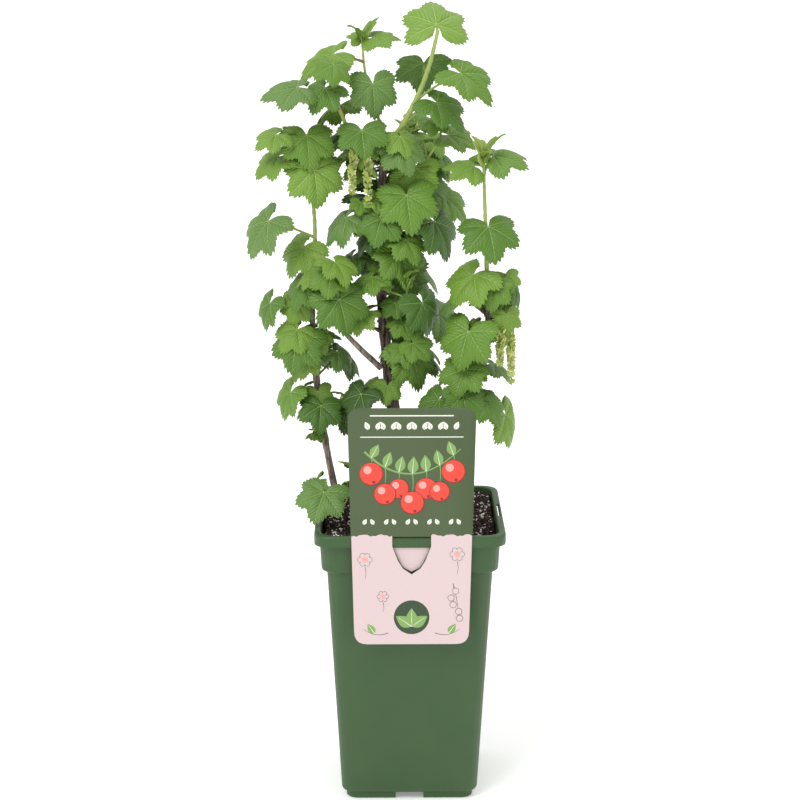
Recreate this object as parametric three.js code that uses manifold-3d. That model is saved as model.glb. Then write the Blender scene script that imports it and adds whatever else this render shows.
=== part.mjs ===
// Potted red currant bush: a young bush of three canes in a deep square nursery pot, with a card
// label hooked on the rim. Millimetres, +Z up. The origin is the middle of the pot's underside,
// and the label's face looks along -Y.
//
// Bearings round the bush are in degrees from +X, so 90 is behind the pot and 270 is its front.

import * as THREE from 'three';
import { mergeVertices } from 'three/addons/utils/BufferGeometryUtils.js';
import Module from 'manifold-3d';

const wasm = await Module();
wasm.setup();

// Driving dimensions

const GAP = 0.3;          // clear space between neighbouring pieces

const POT = {
  height: 212.6,          // from the feet to the top of the rim
  lip: 70,                // half the width over the rim's turned-down lip
  lipDrop: 8,             // height of the lip
  lipWall: 1.2,
  wall: 1.3,
  collarTop: 66.4,        // half widths of the stacking collar under the lip
  collarFoot: 64.9,
  collarDrop: 29.5,       // from the rim's top to the collar's lower edge
  bodyTop: 61,            // half widths of the tapered body
  bodyFoot: 51.1,
  floor: 1.5,
  footHeight: 6.5,
  footInset: 3.5,
  footWidth: 7,
  padRadius: 13,          // central foot under the floor
  archWidth: 21,          // gap between the feet in the middle of each side
  cornerShare: 0.17,      // corner radius as a share of the half width
  cornerSteps: 4,
  slotLength: 31,         // label slot in the rim's flat flange
  slotWidth: 2,
  drainRadius: 5,
  drainReach: 27,         // from the middle to each drain hole, along X and along Y
};
const SOIL_TOP = 207;

const LABEL = {
  top: 309,               // heights of the card's ends above the floor
  bottom: 131,
  topWidth: 92.5,
  bottomWidth: 84.5,
  corner: 10,
  thick: 0.7,
  windowWidth: 28,
  windowTop: 213.6,
  windowTip: 185,
  middle: 1,              // how far right of the pot's middle the card hangs
};

// Each limb runs along foot + lean * t + bow * sin(pi t) + ess * sin(2 pi t), t from 0 to 1.
// A branch has no foot of its own: it leaves the limb it is on, at that share of its length.
const LIMBS = {
  main_stem: {
    foot: [-4.8, 4, SOIL_TOP + GAP], lean: [-12, 6, 286], bow: [-7.6, 0, 0], ess: [2.6, 1.5, 0],
    thick: [5.4, 2.3], flare: 0.55, sides: 8, steps: 14,
  },
  left_cane: {
    foot: [-52.5, 17, SOIL_TOP + GAP], lean: [-20, -7, 172], bow: [-5, 2, 0],
    thick: [2.7, 1.9], flare: 0.35, sides: 7, steps: 9,
  },
  right_cane: {
    foot: [8.5, -5, SOIL_TOP + GAP], lean: [48.6, -11, 173], bow: [7.9, 0, 0], ess: [-5.7, 1, 0],
    thick: [3.1, 2], flare: 0.4, sides: 7, steps: 10,
  },
  left_branch: {
    on: 'main_stem', at: 0.4, lean: [-39, -18, 46], bow: [-1.9, 0, 0],
    thick: [2.3, 1.5], flare: 0, sides: 6, steps: 5,
  },
  back_branch: {
    on: 'main_stem', at: 0.3, lean: [8, 46, 104], bow: [4, 5, -4],
    thick: [2.4, 1.6], flare: 0, sides: 6, steps: 6,
  },
};

// Each mass of foliage is one stem with leaves: a tip shoot carries on from its limb's end, and a
// spur stands out of a limb's side. stalk and blade are the lengths of its lower leaves' stalks and
// midribs, and first is the bearing of the first leaf. A fan is a shoot whose youngest leaves stand
// upright. The leaves that reach furthest are named one by one in LEADS.
const MASSES = [
  { name: 'top_right_shoot', on: 'main_stem', at: 0.985, lean: [33, -9, 82], bow: [5, 0, 0],
    thick: 2.2, first: 97, leaves: 4, stalk: 30, blade: 26, droop: 30,
    fan: true, seed: 1 },
  { name: 'top_middle_shoot', on: 'main_stem', at: 1, lean: [-17, 8, 66], bow: [-4, 2, 0],
    thick: 1.4, first: 190, leaves: 4, stalk: 20, blade: 22, droop: 35, fan: true, seed: 2 },
  { name: 'top_left_shoot', on: 'main_stem', at: 0.9, lean: [-33, -6, 70], bow: [-4, 0, 0],
    thick: 1.8, first: 186, leaves: 5, stalk: 26, blade: 24, droop: 38, seed: 3 },
  { name: 'top_side_shoot', on: 'main_stem', at: 0.82, lean: [41, 10, 52], bow: [2, 0, -2],
    thick: 1.3, first: 10, leaves: 4, stalk: 22, blade: 22, droop: 25, seed: 4 },
  { name: 'left_tip_shoot', on: 'left_cane', at: 1, lean: [-4, -4, 104], bow: [5, 0, 0],
    thick: 1.8, first: 188, leaves: 6, stalk: 28, blade: 24, droop: 40, fan: true, seed: 5 },
  { name: 'right_tip_shoot', on: 'right_cane', at: 1, lean: [-4, -4, 98], bow: [0, 0, 0],
    thick: 1.9, first: 285, leaves: 4, stalk: 26, blade: 25, droop: 35, fan: true, seed: 6 },
  { name: 'back_tip_shoot', on: 'back_branch', at: 1, lean: [6, 8, 84], bow: [3, 0, 0],
    thick: 1.6, first: 90, leaves: 9, stalk: 28, blade: 25, droop: 42, fan: true, seed: 7 },
  { name: 'branch_tip_shoot', on: 'left_branch', at: 1, lean: [2, -6, 24], bow: [0, 0, 0],
    thick: 1.4, first: 300, leaves: 7, stalk: 20, blade: 25, droop: 45, seed: 8 },
  { name: 'water_shoot', on: 'main_stem', at: 0.5, lean: [12, -8, 34], bow: [4, -2, -3],
    thick: 1.1, first: 300, leaves: 5, stalk: 13, blade: 15, droop: 25, fan: true, seed: 9 },
  { name: 'basal_shoot', on: 'left_cane', at: 0.02, lean: [5, -8, 16], bow: [2, -2, 0],
    thick: 1.1, first: 228, leaves: 5, stalk: 25, blade: 21, droop: 62, seed: 10 },
  { name: 'left_bud', on: 'left_cane', at: 0.33, lean: [-6, -3, 5], bow: [0, 0, 0],
    thick: 1.1, first: 150, leaves: 3, stalk: 5, blade: 7, droop: 20, seed: 11 },
  { name: 'left_low_inner_spur', on: 'left_cane', at: 0.42, lean: [10, -7, 8], bow: [0, 0, 0],
    thick: 1.5, first: 5, leaves: 6, stalk: 20, blade: 23, droop: 40, seed: 12 },
  { name: 'left_low_outer_spur', on: 'left_cane', at: 0.53, lean: [-7, -6, 6], bow: [0, 0, 0],
    thick: 1.5, first: 245, leaves: 1, stalk: 15, blade: 24, droop: 50, seed: 13 },
  { name: 'left_middle_outer_spur', on: 'left_cane', at: 0.76, lean: [-6, -8, 6], bow: [0, 0, 0],
    thick: 1.5, first: 255, leaves: 6, stalk: 16, blade: 25, droop: 50, seed: 14 },
  { name: 'left_middle_inner_spur', on: 'left_cane', at: 0.68, lean: [8, -2, 6], bow: [0, 0, 0],
    thick: 1.4, first: 345, leaves: 4, stalk: 14, blade: 21, droop: 50, seed: 15 },
  { name: 'left_high_outer_spur', on: 'left_cane', at: 0.9, lean: [-8, 4, 6], bow: [0, 0, 0],
    thick: 1.5, first: 190, leaves: 1, stalk: 24, blade: 21, droop: 60, seed: 16 },
  { name: 'left_high_inner_spur', on: 'left_cane', at: 0.96, lean: [7, -8, 7], bow: [0, 0, 0],
    thick: 1.4, first: 310, leaves: 6, stalk: 20, blade: 24, droop: 45, seed: 17 },
  { name: 'left_back_spur', on: 'left_cane', at: 0.6, lean: [-1, 9, 6], bow: [0, 0, 0],
    thick: 1.4, first: 110, leaves: 2, stalk: 24, blade: 24, droop: 50, seed: 18 },
  { name: 'main_label_spur', on: 'main_stem', at: 0.33, lean: [-8, -8, 5], bow: [0, 0, 0],
    thick: 1.5, first: 215, leaves: 1, stalk: 20, blade: 22, droop: 40, seed: 19 },
  { name: 'main_low_right_spur', on: 'main_stem', at: 0.42, lean: [8, -9, 6], bow: [0, 0, 0],
    thick: 1.6, first: 315, leaves: 6, stalk: 20, blade: 27, droop: 50, seed: 20 },
  { name: 'main_low_back_spur', on: 'main_stem', at: 0.38, lean: [9, 5, 6], bow: [0, 0, 0],
    thick: 1.6, first: 20, leaves: 7, stalk: 28, blade: 24, droop: 48, seed: 21 },
  { name: 'main_left_spur', on: 'main_stem', at: 0.5, lean: [-8, -7, 6], bow: [0, 0, 0],
    thick: 1.5, first: 215, leaves: 3, stalk: 20, blade: 26, droop: 50, seed: 22 },
  { name: 'main_middle_front_spur', on: 'main_stem', at: 0.6, lean: [1, -8, 6], bow: [0, 0, 0],
    thick: 1.4, first: 235, leaves: 2, stalk: 16, blade: 22, droop: 45, seed: 23 },
  { name: 'main_middle_back_spur', on: 'main_stem', at: 0.62, lean: [-5, 9, 6], bow: [0, 0, 0],
    thick: 1.5, first: 120, leaves: 7, stalk: 26, blade: 25, droop: 48, seed: 24 },
  { name: 'main_right_spur', on: 'main_stem', at: 0.69, lean: [9, -5, 6], bow: [0, 0, 0],
    thick: 1.5, first: 340, leaves: 7, stalk: 22, blade: 24, droop: 45, seed: 25 },
  { name: 'main_upper_front_spur', on: 'main_stem', at: 0.76, lean: [3, -8, 6], bow: [0, 0, 0],
    thick: 1.3, first: 280, leaves: 6, stalk: 15, blade: 20, droop: 40, seed: 26 },
  { name: 'main_upper_left_spur', on: 'main_stem', at: 0.8, lean: [-8, -3, 4], bow: [0, 0, 0],
    thick: 1.4, first: 190, leaves: 2, stalk: 25, blade: 25, droop: 45, seed: 27 },
  { name: 'main_upper_right_spur', on: 'main_stem', at: 0.785, lean: [9, 3, 8], bow: [0, 0, 0],
    thick: 1.7, first: 325, leaves: 6, stalk: 32, blade: 29, droop: 45, seed: 28 },
  { name: 'main_upper_back_spur', on: 'main_stem', at: 0.84, lean: [1, 9, 7], bow: [0, 0, 0],
    thick: 1.5, first: 80, leaves: 7, stalk: 26, blade: 24, droop: 42, seed: 29 },
  { name: 'main_flower_spur', on: 'main_stem', at: 0.955, lean: [-16, -9, 3], bow: [0, 0, 0],
    thick: 1.4, first: 180, leaves: 3, stalk: 17, blade: 22, droop: 40, seed: 30, strigs: 2 },
  { name: 'main_high_left_spur', on: 'main_stem', at: 0.93, lean: [-10, 1, 7], bow: [0, 0, 0],
    thick: 1.5, first: 195, leaves: 4, stalk: 28, blade: 25, droop: 40, seed: 31 },
  { name: 'main_high_front_spur', on: 'main_stem', at: 0.95, lean: [6, -8, 6], bow: [0, 0, 0],
    thick: 1.4, first: 300, leaves: 6, stalk: 17, blade: 23, droop: 35, seed: 32 },
  { name: 'right_low_front_spur', on: 'right_cane', at: 0.5, lean: [-3, -8, 6], bow: [0, 0, 0],
    thick: 1.4, first: 215, leaves: 6, stalk: 20, blade: 21, droop: 42, seed: 33 },
  { name: 'right_low_outer_spur', on: 'right_cane', at: 0.42, lean: [9, 1, 5], bow: [0, 0, 0],
    thick: 1.4, first: 355, leaves: 3, stalk: 27, blade: 22, droop: 50, seed: 34 },
  { name: 'right_low_back_spur', on: 'right_cane', at: 0.6, lean: [-1, 9, 5], bow: [0, 0, 0],
    thick: 1.4, first: 100, leaves: 7, stalk: 24, blade: 23, droop: 50, seed: 35 },
  { name: 'right_flower_spur', on: 'right_cane', at: 0.84, lean: [9, -5, 2], bow: [0, 0, 0],
    thick: 1.3, first: 290, leaves: 4, stalk: 13, blade: 17, droop: 40, seed: 36, strigs: 3 },
  { name: 'right_middle_front_spur', on: 'right_cane', at: 0.81, lean: [-6, -8, 6], bow: [0, 0, 0],
    thick: 1.5, first: 245, leaves: 6, stalk: 16, blade: 28, droop: 50, seed: 37 },
  { name: 'right_middle_outer_spur', on: 'right_cane', at: 0.905, lean: [8, -3, 6], bow: [0, 0, 0],
    thick: 1.4, first: 330, leaves: 1, stalk: 14, blade: 21, droop: 45, seed: 38 },
  { name: 'right_high_inner_spur', on: 'right_cane', at: 0.93, lean: [-9, -2, 7], bow: [0, 0, 0],
    thick: 1.5, first: 195, leaves: 2, stalk: 24, blade: 24, droop: 45, seed: 39 },
  { name: 'right_high_outer_spur', on: 'right_cane', at: 0.97, lean: [9, 3, 6], bow: [0, 0, 0],
    thick: 1.4, first: 345, leaves: 6, stalk: 22, blade: 20, droop: 60, seed: 40 },
  { name: 'right_high_back_spur', on: 'right_cane', at: 0.9, lean: [0, 9, 6], bow: [0, 0, 0],
    thick: 1.4, first: 75, leaves: 5, stalk: 24, blade: 23, droop: 45, seed: 41 },
  { name: 'back_low_spur', on: 'back_branch', at: 0.45, lean: [8, 5, 5], bow: [0, 0, 0],
    thick: 1.4, first: 60, leaves: 7, stalk: 25, blade: 24, droop: 50, seed: 42 },
  { name: 'back_high_spur', on: 'back_branch', at: 0.8, lean: [-8, 4, 6], bow: [0, 0, 0],
    thick: 1.4, first: 140, leaves: 7, stalk: 25, blade: 24, droop: 48, seed: 43 },
];

// The leading leaves of some masses: each with its bearing, its share of the way up the stem, how
// steeply its stalk rises, its stalk, its midrib and how far it droops below level.
const LEADS = {
  top_right_shoot: [
    [97, 0.98, 60, 7, 31, -34], [342, 0.37, 40, 40, 30, 22], [95, 0.6, 35, 17, 28, 50],
    [340, 0.15, 43, 32, 27, 24],
  ],
  top_middle_shoot: [
    [184, 0.8, 18, 23, 30, 25], [285, 0.5, 30, 13, 24, 58], [355, 0.98, 45, 10, 20, -8],
    [120, 0.98, 80, 5, 12, -30],
  ],
  top_left_shoot: [[197, 0.7, 36, 36, 27, 0]],
  left_tip_shoot: [
    [192, 0.38, 27, 37, 29, 44], [295, 0.88, 0, 12, 26, 58], [190, 0.9, 22, 22, 22, 25],
    [280, 0.97, 75, 18, 24, 35], [205, 0.98, 42, 27, 18, 12], [205, 0.33, -5, 9, 24, 40],
  ],
  right_tip_shoot: [
    [285, 0.46, 60, 9, 26, 25], [205, 0.12, 28, 12, 27, 35], [30, 0.9, 75, 16, 27, -5],
    [170, 0.85, 70, 14, 22, -5],
  ],
  right_low_outer_spur: [[352, 0.9, 14, 26, 26, 70]],
  basal_shoot: [[247, 0.75, 22, 46, 24, 25], [330, 0.8, 50, 12, 16, 20]],
  left_low_inner_spur: [[345, 0.3, 30, 14, 20, 40]],
  left_low_outer_spur: [[190, 0.3, 10, 16, 22, 60]],
  left_middle_outer_spur: [[240, 0.4, 30, 14, 26, 50]],
  left_high_outer_spur: [[188, 0.6, 12, 24, 21, 62]],
  main_label_spur: [[210, 0.4, 5, 18, 22, 45]],
  main_low_right_spur: [[315, 0.4, 30, 16, 27, 50]],
  main_high_left_spur: [[145, 0.95, 10, 16, 22, 50]],
  main_high_front_spur: [[300, 0.5, 40, 14, 23, 35]],
  right_low_front_spur: [[205, 0.4, 30, 20, 21, 42]],
  right_middle_front_spur: [[230, 0.4, 30, 18, 28, 50]],
  right_middle_outer_spur: [[285, 0.9, -10, 8, 15, 50]],
  right_high_outer_spur: [[2, 0.8, 40, 11, 17, 62]],
  main_upper_left_spur: [[185, 0.15, -5, 20, 25, 35]],
  main_upper_right_spur: [[345, 0.8, -15, 30, 29, 50]],
  main_middle_front_spur: [[340, 0.8, -20, 32, 25, 65]],
  top_side_shoot: [[352, 0.98, 10, 6, 22, 8], [260, 0.5, 40, 10, 22, 45]],
  main_right_spur: [[320, 0.7, 30, 5, 26, 50]],
};

const SPIRAL = 137.5;      // degrees from one leaf to the next round its stem
const TAPER = 0.3;         // share that a mass's topmost leaf is smaller by
const FACING = 0.36;       // how far the blades turn to the lit front
const SPARE = 9;           // leaves tried for each one wanted
const CROWN = { left: -124, right: 91, front: -88, back: 92, top: 590.5 };
const LEAF_THICK = 1.1;    // at the stalk, thinning to the edge
const STALK_RADIUS = [0.85, 0.65];

// Half the leaf's outline, as [degrees off the midrib, distance from the stalk in midribs]:
// middle lobe, side lobe and base lobe, with the notches between them.
const OUTLINE = [[0, 1], [17, 0.9], [30, 0.75], [51, 0.9], [80, 0.69], [108, 0.75], [146, 0.45]];

const COLOURS = {
  pot: 0x4a7a4e, soil: 0x2a1f1a, label: 0x6c7f58, bark: 0x6b574e, leaf: 0x4f8a34, young: 0x8db54a,
};

// Helpers

const UP = new THREE.Vector3(0, 0, 1);
const radians = THREE.MathUtils.degToRad;
const mix = THREE.MathUtils.lerp;
const vector = (xyz) => new THREE.Vector3(...xyz);

// A small seeded generator, so that every build grows the same bush.
function dice(seed) {
  let state = (seed * 7919 + 104729) % 2147483647;
  const roll = () => {
    state = (state * 16807) % 2147483647;
    return state / 2147483647;
  };
  roll();
  roll();
  return roll;
}

function toSolid(geometry) {
  const bare = geometry.clone();
  bare.deleteAttribute('normal');
  bare.deleteAttribute('uv');
  const merged = mergeVertices(bare, 1e-3);
  const corners = merged.index.array;
  const triVerts = [];
  for (let i = 0; i < corners.length; i += 3) {
    const [a, b, c] = [corners[i], corners[i + 1], corners[i + 2]];
    if (a !== b && b !== c && c !== a) triVerts.push(a, b, c);
  }
  return new wasm.Manifold(new wasm.Mesh({
    numProp: 3,
    vertProperties: new Float32Array(merged.attributes.position.array),
    triVerts: new Uint32Array(triVerts),
  }));
}

function toGeometry(solid) {
  const mesh = solid.getMesh();
  const geometry = new THREE.BufferGeometry();
  geometry.setAttribute('position', new THREE.BufferAttribute(mesh.vertProperties.slice(), 3));
  geometry.setIndex(new THREE.BufferAttribute(mesh.triVerts.slice(), 1));
  geometry.computeVertexNormals();
  return geometry;
}

function box(sizes, middle) {
  return toSolid(new THREE.BoxGeometry(...sizes).translate(...middle));
}

// The largest piece of a fused solid, so that loose scraps are dropped.
function largestPiece(solid) {
  return solid.decompose().reduce((best, piece) => (piece.volume() > best.volume() ? piece : best));
}

// A profile of [half width, height] points turned round the pot's axis as a rounded square.
function squareTurned(profile) {
  const perSide = POT.cornerSteps + 1;
  const points = profile.map(([halfWidth, height]) => new THREE.Vector2(halfWidth, height));
  const geometry = new THREE.LatheGeometry(points, 4 * perSide);
  const place = geometry.attributes.position;
  for (let i = 0; i < place.count; i += 1) {
    const [halfWidth, height] = profile[i % profile.length];
    const station = Math.floor(i / profile.length) % (4 * perSide);
    const corner = halfWidth * POT.cornerShare;
    const side = Math.floor(station / perSide);
    const angle = radians(90 * side + (90 * (station % perSide)) / POT.cornerSteps);
    const centre = radians(90 * side + 45);
    const reach = (halfWidth - corner) * Math.SQRT2;
    place.setXYZ(
      i,
      reach * Math.cos(centre) + corner * Math.cos(angle),
      reach * Math.sin(centre) + corner * Math.sin(angle),
      height,
    );
  }
  return toSolid(geometry);
}

// A round rod along a curve, with its radius given by a function of t. The ends are flat, and a
// level foot is cut parallel to the ground.
function rod(curve, radiusAt, sides, steps, levelFoot = false) {
  const geometry = new THREE.CylinderGeometry(1, 1, 1, sides, steps);
  const place = geometry.attributes.position;
  for (let i = 0; i < place.count; i += 1) {
    const t = place.getY(i) + 0.5;
    const along = levelFoot && t < 1e-6 ? UP.clone() : curve.getTangent(t);
    const across = vector([1, 0.2, 0]);
    if (Math.abs(along.dot(across)) > 0.8) across.set(0, 0, 1);
    across.addScaledVector(along, -along.dot(across)).normalize();
    const other = across.clone().cross(along);
    const radius = radiusAt(t);
    const point = curve.getPoint(t)
      .addScaledVector(across, place.getX(i) * radius)
      .addScaledVector(other, place.getZ(i) * radius);
    place.setXYZ(i, point.x, point.y, point.z);
  }
  return toSolid(geometry);
}

class LimbCurve extends THREE.Curve {
  constructor(foot, { lean, bow, ess = [0, 0, 0] }) {
    super();
    Object.assign(this, { foot, lean: vector(lean), bow: vector(bow), ess: vector(ess) });
  }

  getPoint(t, target = new THREE.Vector3()) {
    return target.copy(this.foot).addScaledVector(this.lean, t)
      .addScaledVector(this.bow, Math.sin(Math.PI * t))
      .addScaledVector(this.ess, Math.sin(2 * Math.PI * t));
  }
}

// Pot, soil and label

function makePot() {
  const { height: top, lip, lipWall, wall, collarTop, collarFoot, bodyTop, bodyFoot } = POT;
  const underside = POT.footHeight - POT.floor;
  const footOut = bodyFoot - POT.footInset;
  const footIn = footOut - POT.footWidth;
  const collarEdge = top - POT.collarDrop;
  const flange = top - 1.4;
  const inside = collarTop - wall;
  let pot = squareTurned([
    [0, 0], [POT.padRadius, 0], [POT.padRadius, underside],
    [footIn, underside], [footIn, 0], [footOut - 1, 0], [footOut, 1], [footOut, POT.footHeight],
    [bodyFoot - 1, POT.footHeight], [bodyFoot, POT.footHeight + 2],
    [bodyTop, collarEdge], [collarFoot - 1, collarEdge + 0.3], [collarFoot, collarEdge + 1.6],
    [collarTop, flange], [lip - lipWall, flange], [lip - lipWall, top - POT.lipDrop],
    [lip, top - POT.lipDrop], [lip, top - 1], [lip - 0.8, top], [inside + 0.6, top],
    [inside, top - 0.8], [collarFoot - wall, collarEdge + 2], [bodyTop - wall, collarEdge - 1],
    [bodyFoot - wall, POT.footHeight + POT.floor], [0, POT.footHeight],
  ]);
  const slotMiddle = lip - lipWall - POT.slotWidth / 2;
  const footMiddle = (footOut + footIn) / 2;
  for (const turn of [0, 90, 180, 270]) {
    const [x, y] = [Math.round(Math.cos(radians(turn))), Math.round(Math.sin(radians(turn)))];
    const across = (long, short) => [Math.abs(x) * short + Math.abs(y) * long,
      Math.abs(y) * short + Math.abs(x) * long];
    const slot = box([...across(POT.slotLength, POT.slotWidth), 6],
      [x * slotMiddle, y * slotMiddle, top]);
    const arch = box([...across(POT.archWidth, POT.footWidth + 2), 2 * underside],
      [x * footMiddle, y * footMiddle, 0]);
    const drain = new THREE.CylinderGeometry(POT.drainRadius, POT.drainRadius, 20, 10)
      .rotateX(Math.PI / 2)
      .translate((x + y) * POT.drainReach, (y - x) * POT.drainReach, POT.footHeight);
    pot = pot.subtract(slot).subtract(arch).subtract(toSolid(drain));
  }
  return pot;
}

// The soil fills the pot to a little under the rim, clear of its walls and floor.
function makeSoil() {
  const inset = POT.wall + GAP;
  const collarEdge = POT.height - POT.collarDrop;
  const climb = (SOIL_TOP - collarEdge - 2) / (POT.height - collarEdge);
  const topWidth = mix(POT.collarFoot, POT.collarTop, climb) - inset;
  return squareTurned([
    [0, POT.footHeight + GAP], [POT.bodyFoot - inset, POT.footHeight + POT.floor + GAP],
    [POT.bodyTop - inset, collarEdge - 1 + GAP], [POT.collarFoot - inset, collarEdge + 2 + GAP],
    [topWidth, SOIL_TOP], [0, SOIL_TOP],
  ]);
}

// A flat card outline, extruded to its thickness and stood upright facing -Y.
function card(outline, front, thick) {
  const geometry = new THREE.ExtrudeGeometry(outline, {
    depth: thick, bevelEnabled: false, curveSegments: 5,
  });
  return toSolid(geometry.rotateX(Math.PI / 2).translate(0, front + thick, 0));
}

function cardOutline() {
  const { top, bottom, corner, middle } = LABEL;
  const [wide, slim] = [LABEL.topWidth / 2, LABEL.bottomWidth / 2];
  const narrowing = ((wide - slim) * corner) / (top - bottom);
  const shape = new THREE.Shape();
  shape.moveTo(middle - slim + corner, bottom);
  shape.lineTo(middle + slim - corner, bottom);
  shape.quadraticCurveTo(middle + slim, bottom, middle + slim + narrowing, bottom + corner);
  shape.lineTo(middle + wide - narrowing, top - corner);
  shape.quadraticCurveTo(middle + wide, top, middle + wide - corner, top);
  shape.lineTo(middle - wide + corner, top);
  shape.quadraticCurveTo(middle - wide, top, middle - wide + narrowing, top - corner);
  shape.lineTo(middle - slim - narrowing, bottom + corner);
  shape.quadraticCurveTo(middle - slim, bottom, middle - slim + corner, bottom);
  return shape;
}

// The tongue's outline, also that of the window it leaves: straight at the top, then a point.
function tongueOutline(top, tip, halfWidth) {
  const { middle } = LABEL;
  const shoulder = POT.height - POT.lipDrop + 2;
  const shape = new THREE.Shape();
  shape.moveTo(middle - halfWidth, top);
  shape.lineTo(middle - halfWidth, shoulder);
  shape.quadraticCurveTo(middle - halfWidth + 5, tip + 9, middle - halfWidth + 8, tip + 4.5);
  shape.lineTo(middle, tip);
  shape.lineTo(middle + halfWidth - 8, tip + 4.5);
  shape.quadraticCurveTo(middle + halfWidth - 5, tip + 9, middle + halfWidth, shoulder);
  shape.lineTo(middle + halfWidth, top);
  return shape;
}

// The card hangs in front of the lip. Its tongue folds back over the rim and goes down through the
// slot in the flange, behind the lip.
function makeLabel() {
  const { thick, windowWidth, windowTop, windowTip } = LABEL;
  const front = -POT.lip - GAP - thick;
  const behind = -POT.lip + POT.lipWall + GAP;
  const half = windowWidth / 2;
  const face = card(cardOutline(), front, thick)
    .subtract(card(tongueOutline(windowTop, windowTip, half), front - 1, thick + 2));
  const tongue = card(tongueOutline(windowTop, windowTip + 0.8, half - 0.4), behind, thick);
  const fold = box([windowWidth - 0.8, behind + thick - front, thick],
    [LABEL.middle, (front + behind + thick) / 2, windowTop]);
  return face.add(tongue).add(fold);
}

// Limbs

const curves = {};

// Where a shoot starts that leaves a limb in a direction, just clear of the limb's bark or end.
function seat(limbName, at, lean, thick) {
  const limb = LIMBS[limbName];
  const axis = curves[limbName].getPoint(at);
  const radius = mix(limb.thick[0], limb.thick[1], at);
  const way = vector(lean).normalize();
  if (at === 1) {
    const straight = way.dot(curves[limbName].getTangent(1));
    return axis.addScaledVector(way, (1.3 * GAP + thick * Math.sqrt(1 - straight ** 2)) / straight);
  }
  const flat = new THREE.Vector3(way.x, way.y, 0).normalize();
  const across = Math.sqrt(1 - flat.dot(curves[limbName].getTangent(at)) ** 2);
  return axis.addScaledVector(flat, (radius + 1.5 * GAP + thick * way.z) / across);
}

function makeLimb(name) {
  const limb = LIMBS[name];
  const grounded = !limb.on;
  const foot = grounded ? vector(limb.foot) : seat(limb.on, limb.at, limb.lean, limb.thick[0]);
  curves[name] = new LimbCurve(foot, limb);
  const flareHeight = 9;
  const radiusAt = (t) => mix(limb.thick[0], limb.thick[1], t)
    * (1 + limb.flare * Math.exp((-t * limb.lean[2]) / flareHeight));
  return rod(curves[name], radiusAt, limb.sides, limb.steps, grounded);
}

// Leaves

// Where leaf number i of a mass sits, and how it is turned. Everything is drawn from the mass's
// seed and the leaf's number, so a leaf that is left out changes no other.
function leafPlan(mass, i) {
  const roll = dice(mass.seed * 100 + i);
  const spread = (size) => size * (roll() - 0.5);
  const turn = mass.first + SPIRAL * i + spread(24);
  const inTurn = 0.12 + (0.86 * (i % mass.leaves)) / Math.max(1, mass.leaves - 1);
  const smaller = 1 - TAPER * inTurn * inTurn;
  let leaf = [
    turn,
    inTurn,
    34 + 30 * inTurn + spread(24),
    mass.stalk * smaller * (1 + spread(0.4)),
    mass.blade * smaller * (1 + spread(0.3)),
    (mass.droop - 8) * (1 - 0.4 * inTurn * inTurn) + spread(26),
  ];
  let [twist, bank] = [spread(0.7), spread(0.7)];
  if (mass.fan && inTurn > 0.9) [leaf[2], leaf[5]] = [80, -30 * Math.sin(radians(turn))];
  const lead = (LEADS[mass.name] ?? [])[i];
  if (lead) [leaf, twist, bank] = [lead, 0, 0];
  const [bearingDegrees, height, liftDegrees, stalk, size, droopDegrees] = leaf;
  const [bearing, lift, sag] = [bearingDegrees, liftDegrees, droopDegrees].map(radians);
  const out = new THREE.Vector3(Math.cos(bearing), Math.sin(bearing), 0);
  const root = mass.curve.getPoint(height);
  const arch = root.clone().addScaledVector(out, 0.55 * stalk * Math.cos(lift))
    .addScaledVector(UP, 0.55 * stalk * Math.sin(lift));
  const join = root.clone().addScaledVector(out, stalk * Math.cos(0.8 * lift))
    .addScaledVector(UP, stalk * Math.sin(0.8 * lift));
  const heading = out.clone().applyAxisAngle(UP, twist);
  const normal = heading.clone().multiplyScalar(Math.sin(sag)).addScaledVector(UP, Math.cos(sag));
  const midrib = heading.multiplyScalar(Math.cos(sag)).addScaledVector(UP, -Math.sin(sag));
  normal.y -= FACING * (1 - 0.5 * Math.sin(bearing));
  normal.normalize();
  midrib.addScaledVector(normal, -midrib.dot(normal)).normalize();
  normal.applyAxisAngle(midrib, bank);
  return { size, root, arch, join, midrib, normal, side: midrib.clone().cross(normal) };
}

// A point of the blade, from its angle off the midrib and its distance in midribs: the blade
// arches down towards its edge and lifts a little on both sides of the midrib.
function bladePoint(plan, angle, reach, lift = 0) {
  const along = reach * Math.cos(radians(angle));
  const aside = reach * Math.sin(radians(angle));
  const sink = 0.12 * Math.abs(aside) - 0.24 * reach * reach;
  return plan.join.clone()
    .addScaledVector(plan.midrib, plan.size * along)
    .addScaledVector(plan.side, plan.size * aside)
    .addScaledVector(plan.normal, plan.size * sink + lift);
}

// A lobed blade, thick where its veins meet and sharp at its edge.
function bladeSolid(plan, thick, spread) {
  const rim = [...OUTLINE.slice(1).reverse().map(([angle, reach]) => [-angle, reach]), ...OUTLINE];
  const points = [bladePoint(plan, 0, 0, thick / 2), bladePoint(plan, 0, 0, -thick / 2),
    ...rim.map(([angle, reach]) => bladePoint(plan, angle, reach * spread))];
  const triangles = [];
  for (let i = 2; i + 1 < points.length; i += 1) {
    triangles.push(0, i + 1, i, 1, i, i + 1);
  }
  triangles.push(0, 2, 1, 0, 1, points.length - 1);
  const geometry = new THREE.BufferGeometry().setFromPoints(points);
  geometry.setIndex(triangles);
  return toSolid(geometry);
}

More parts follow.
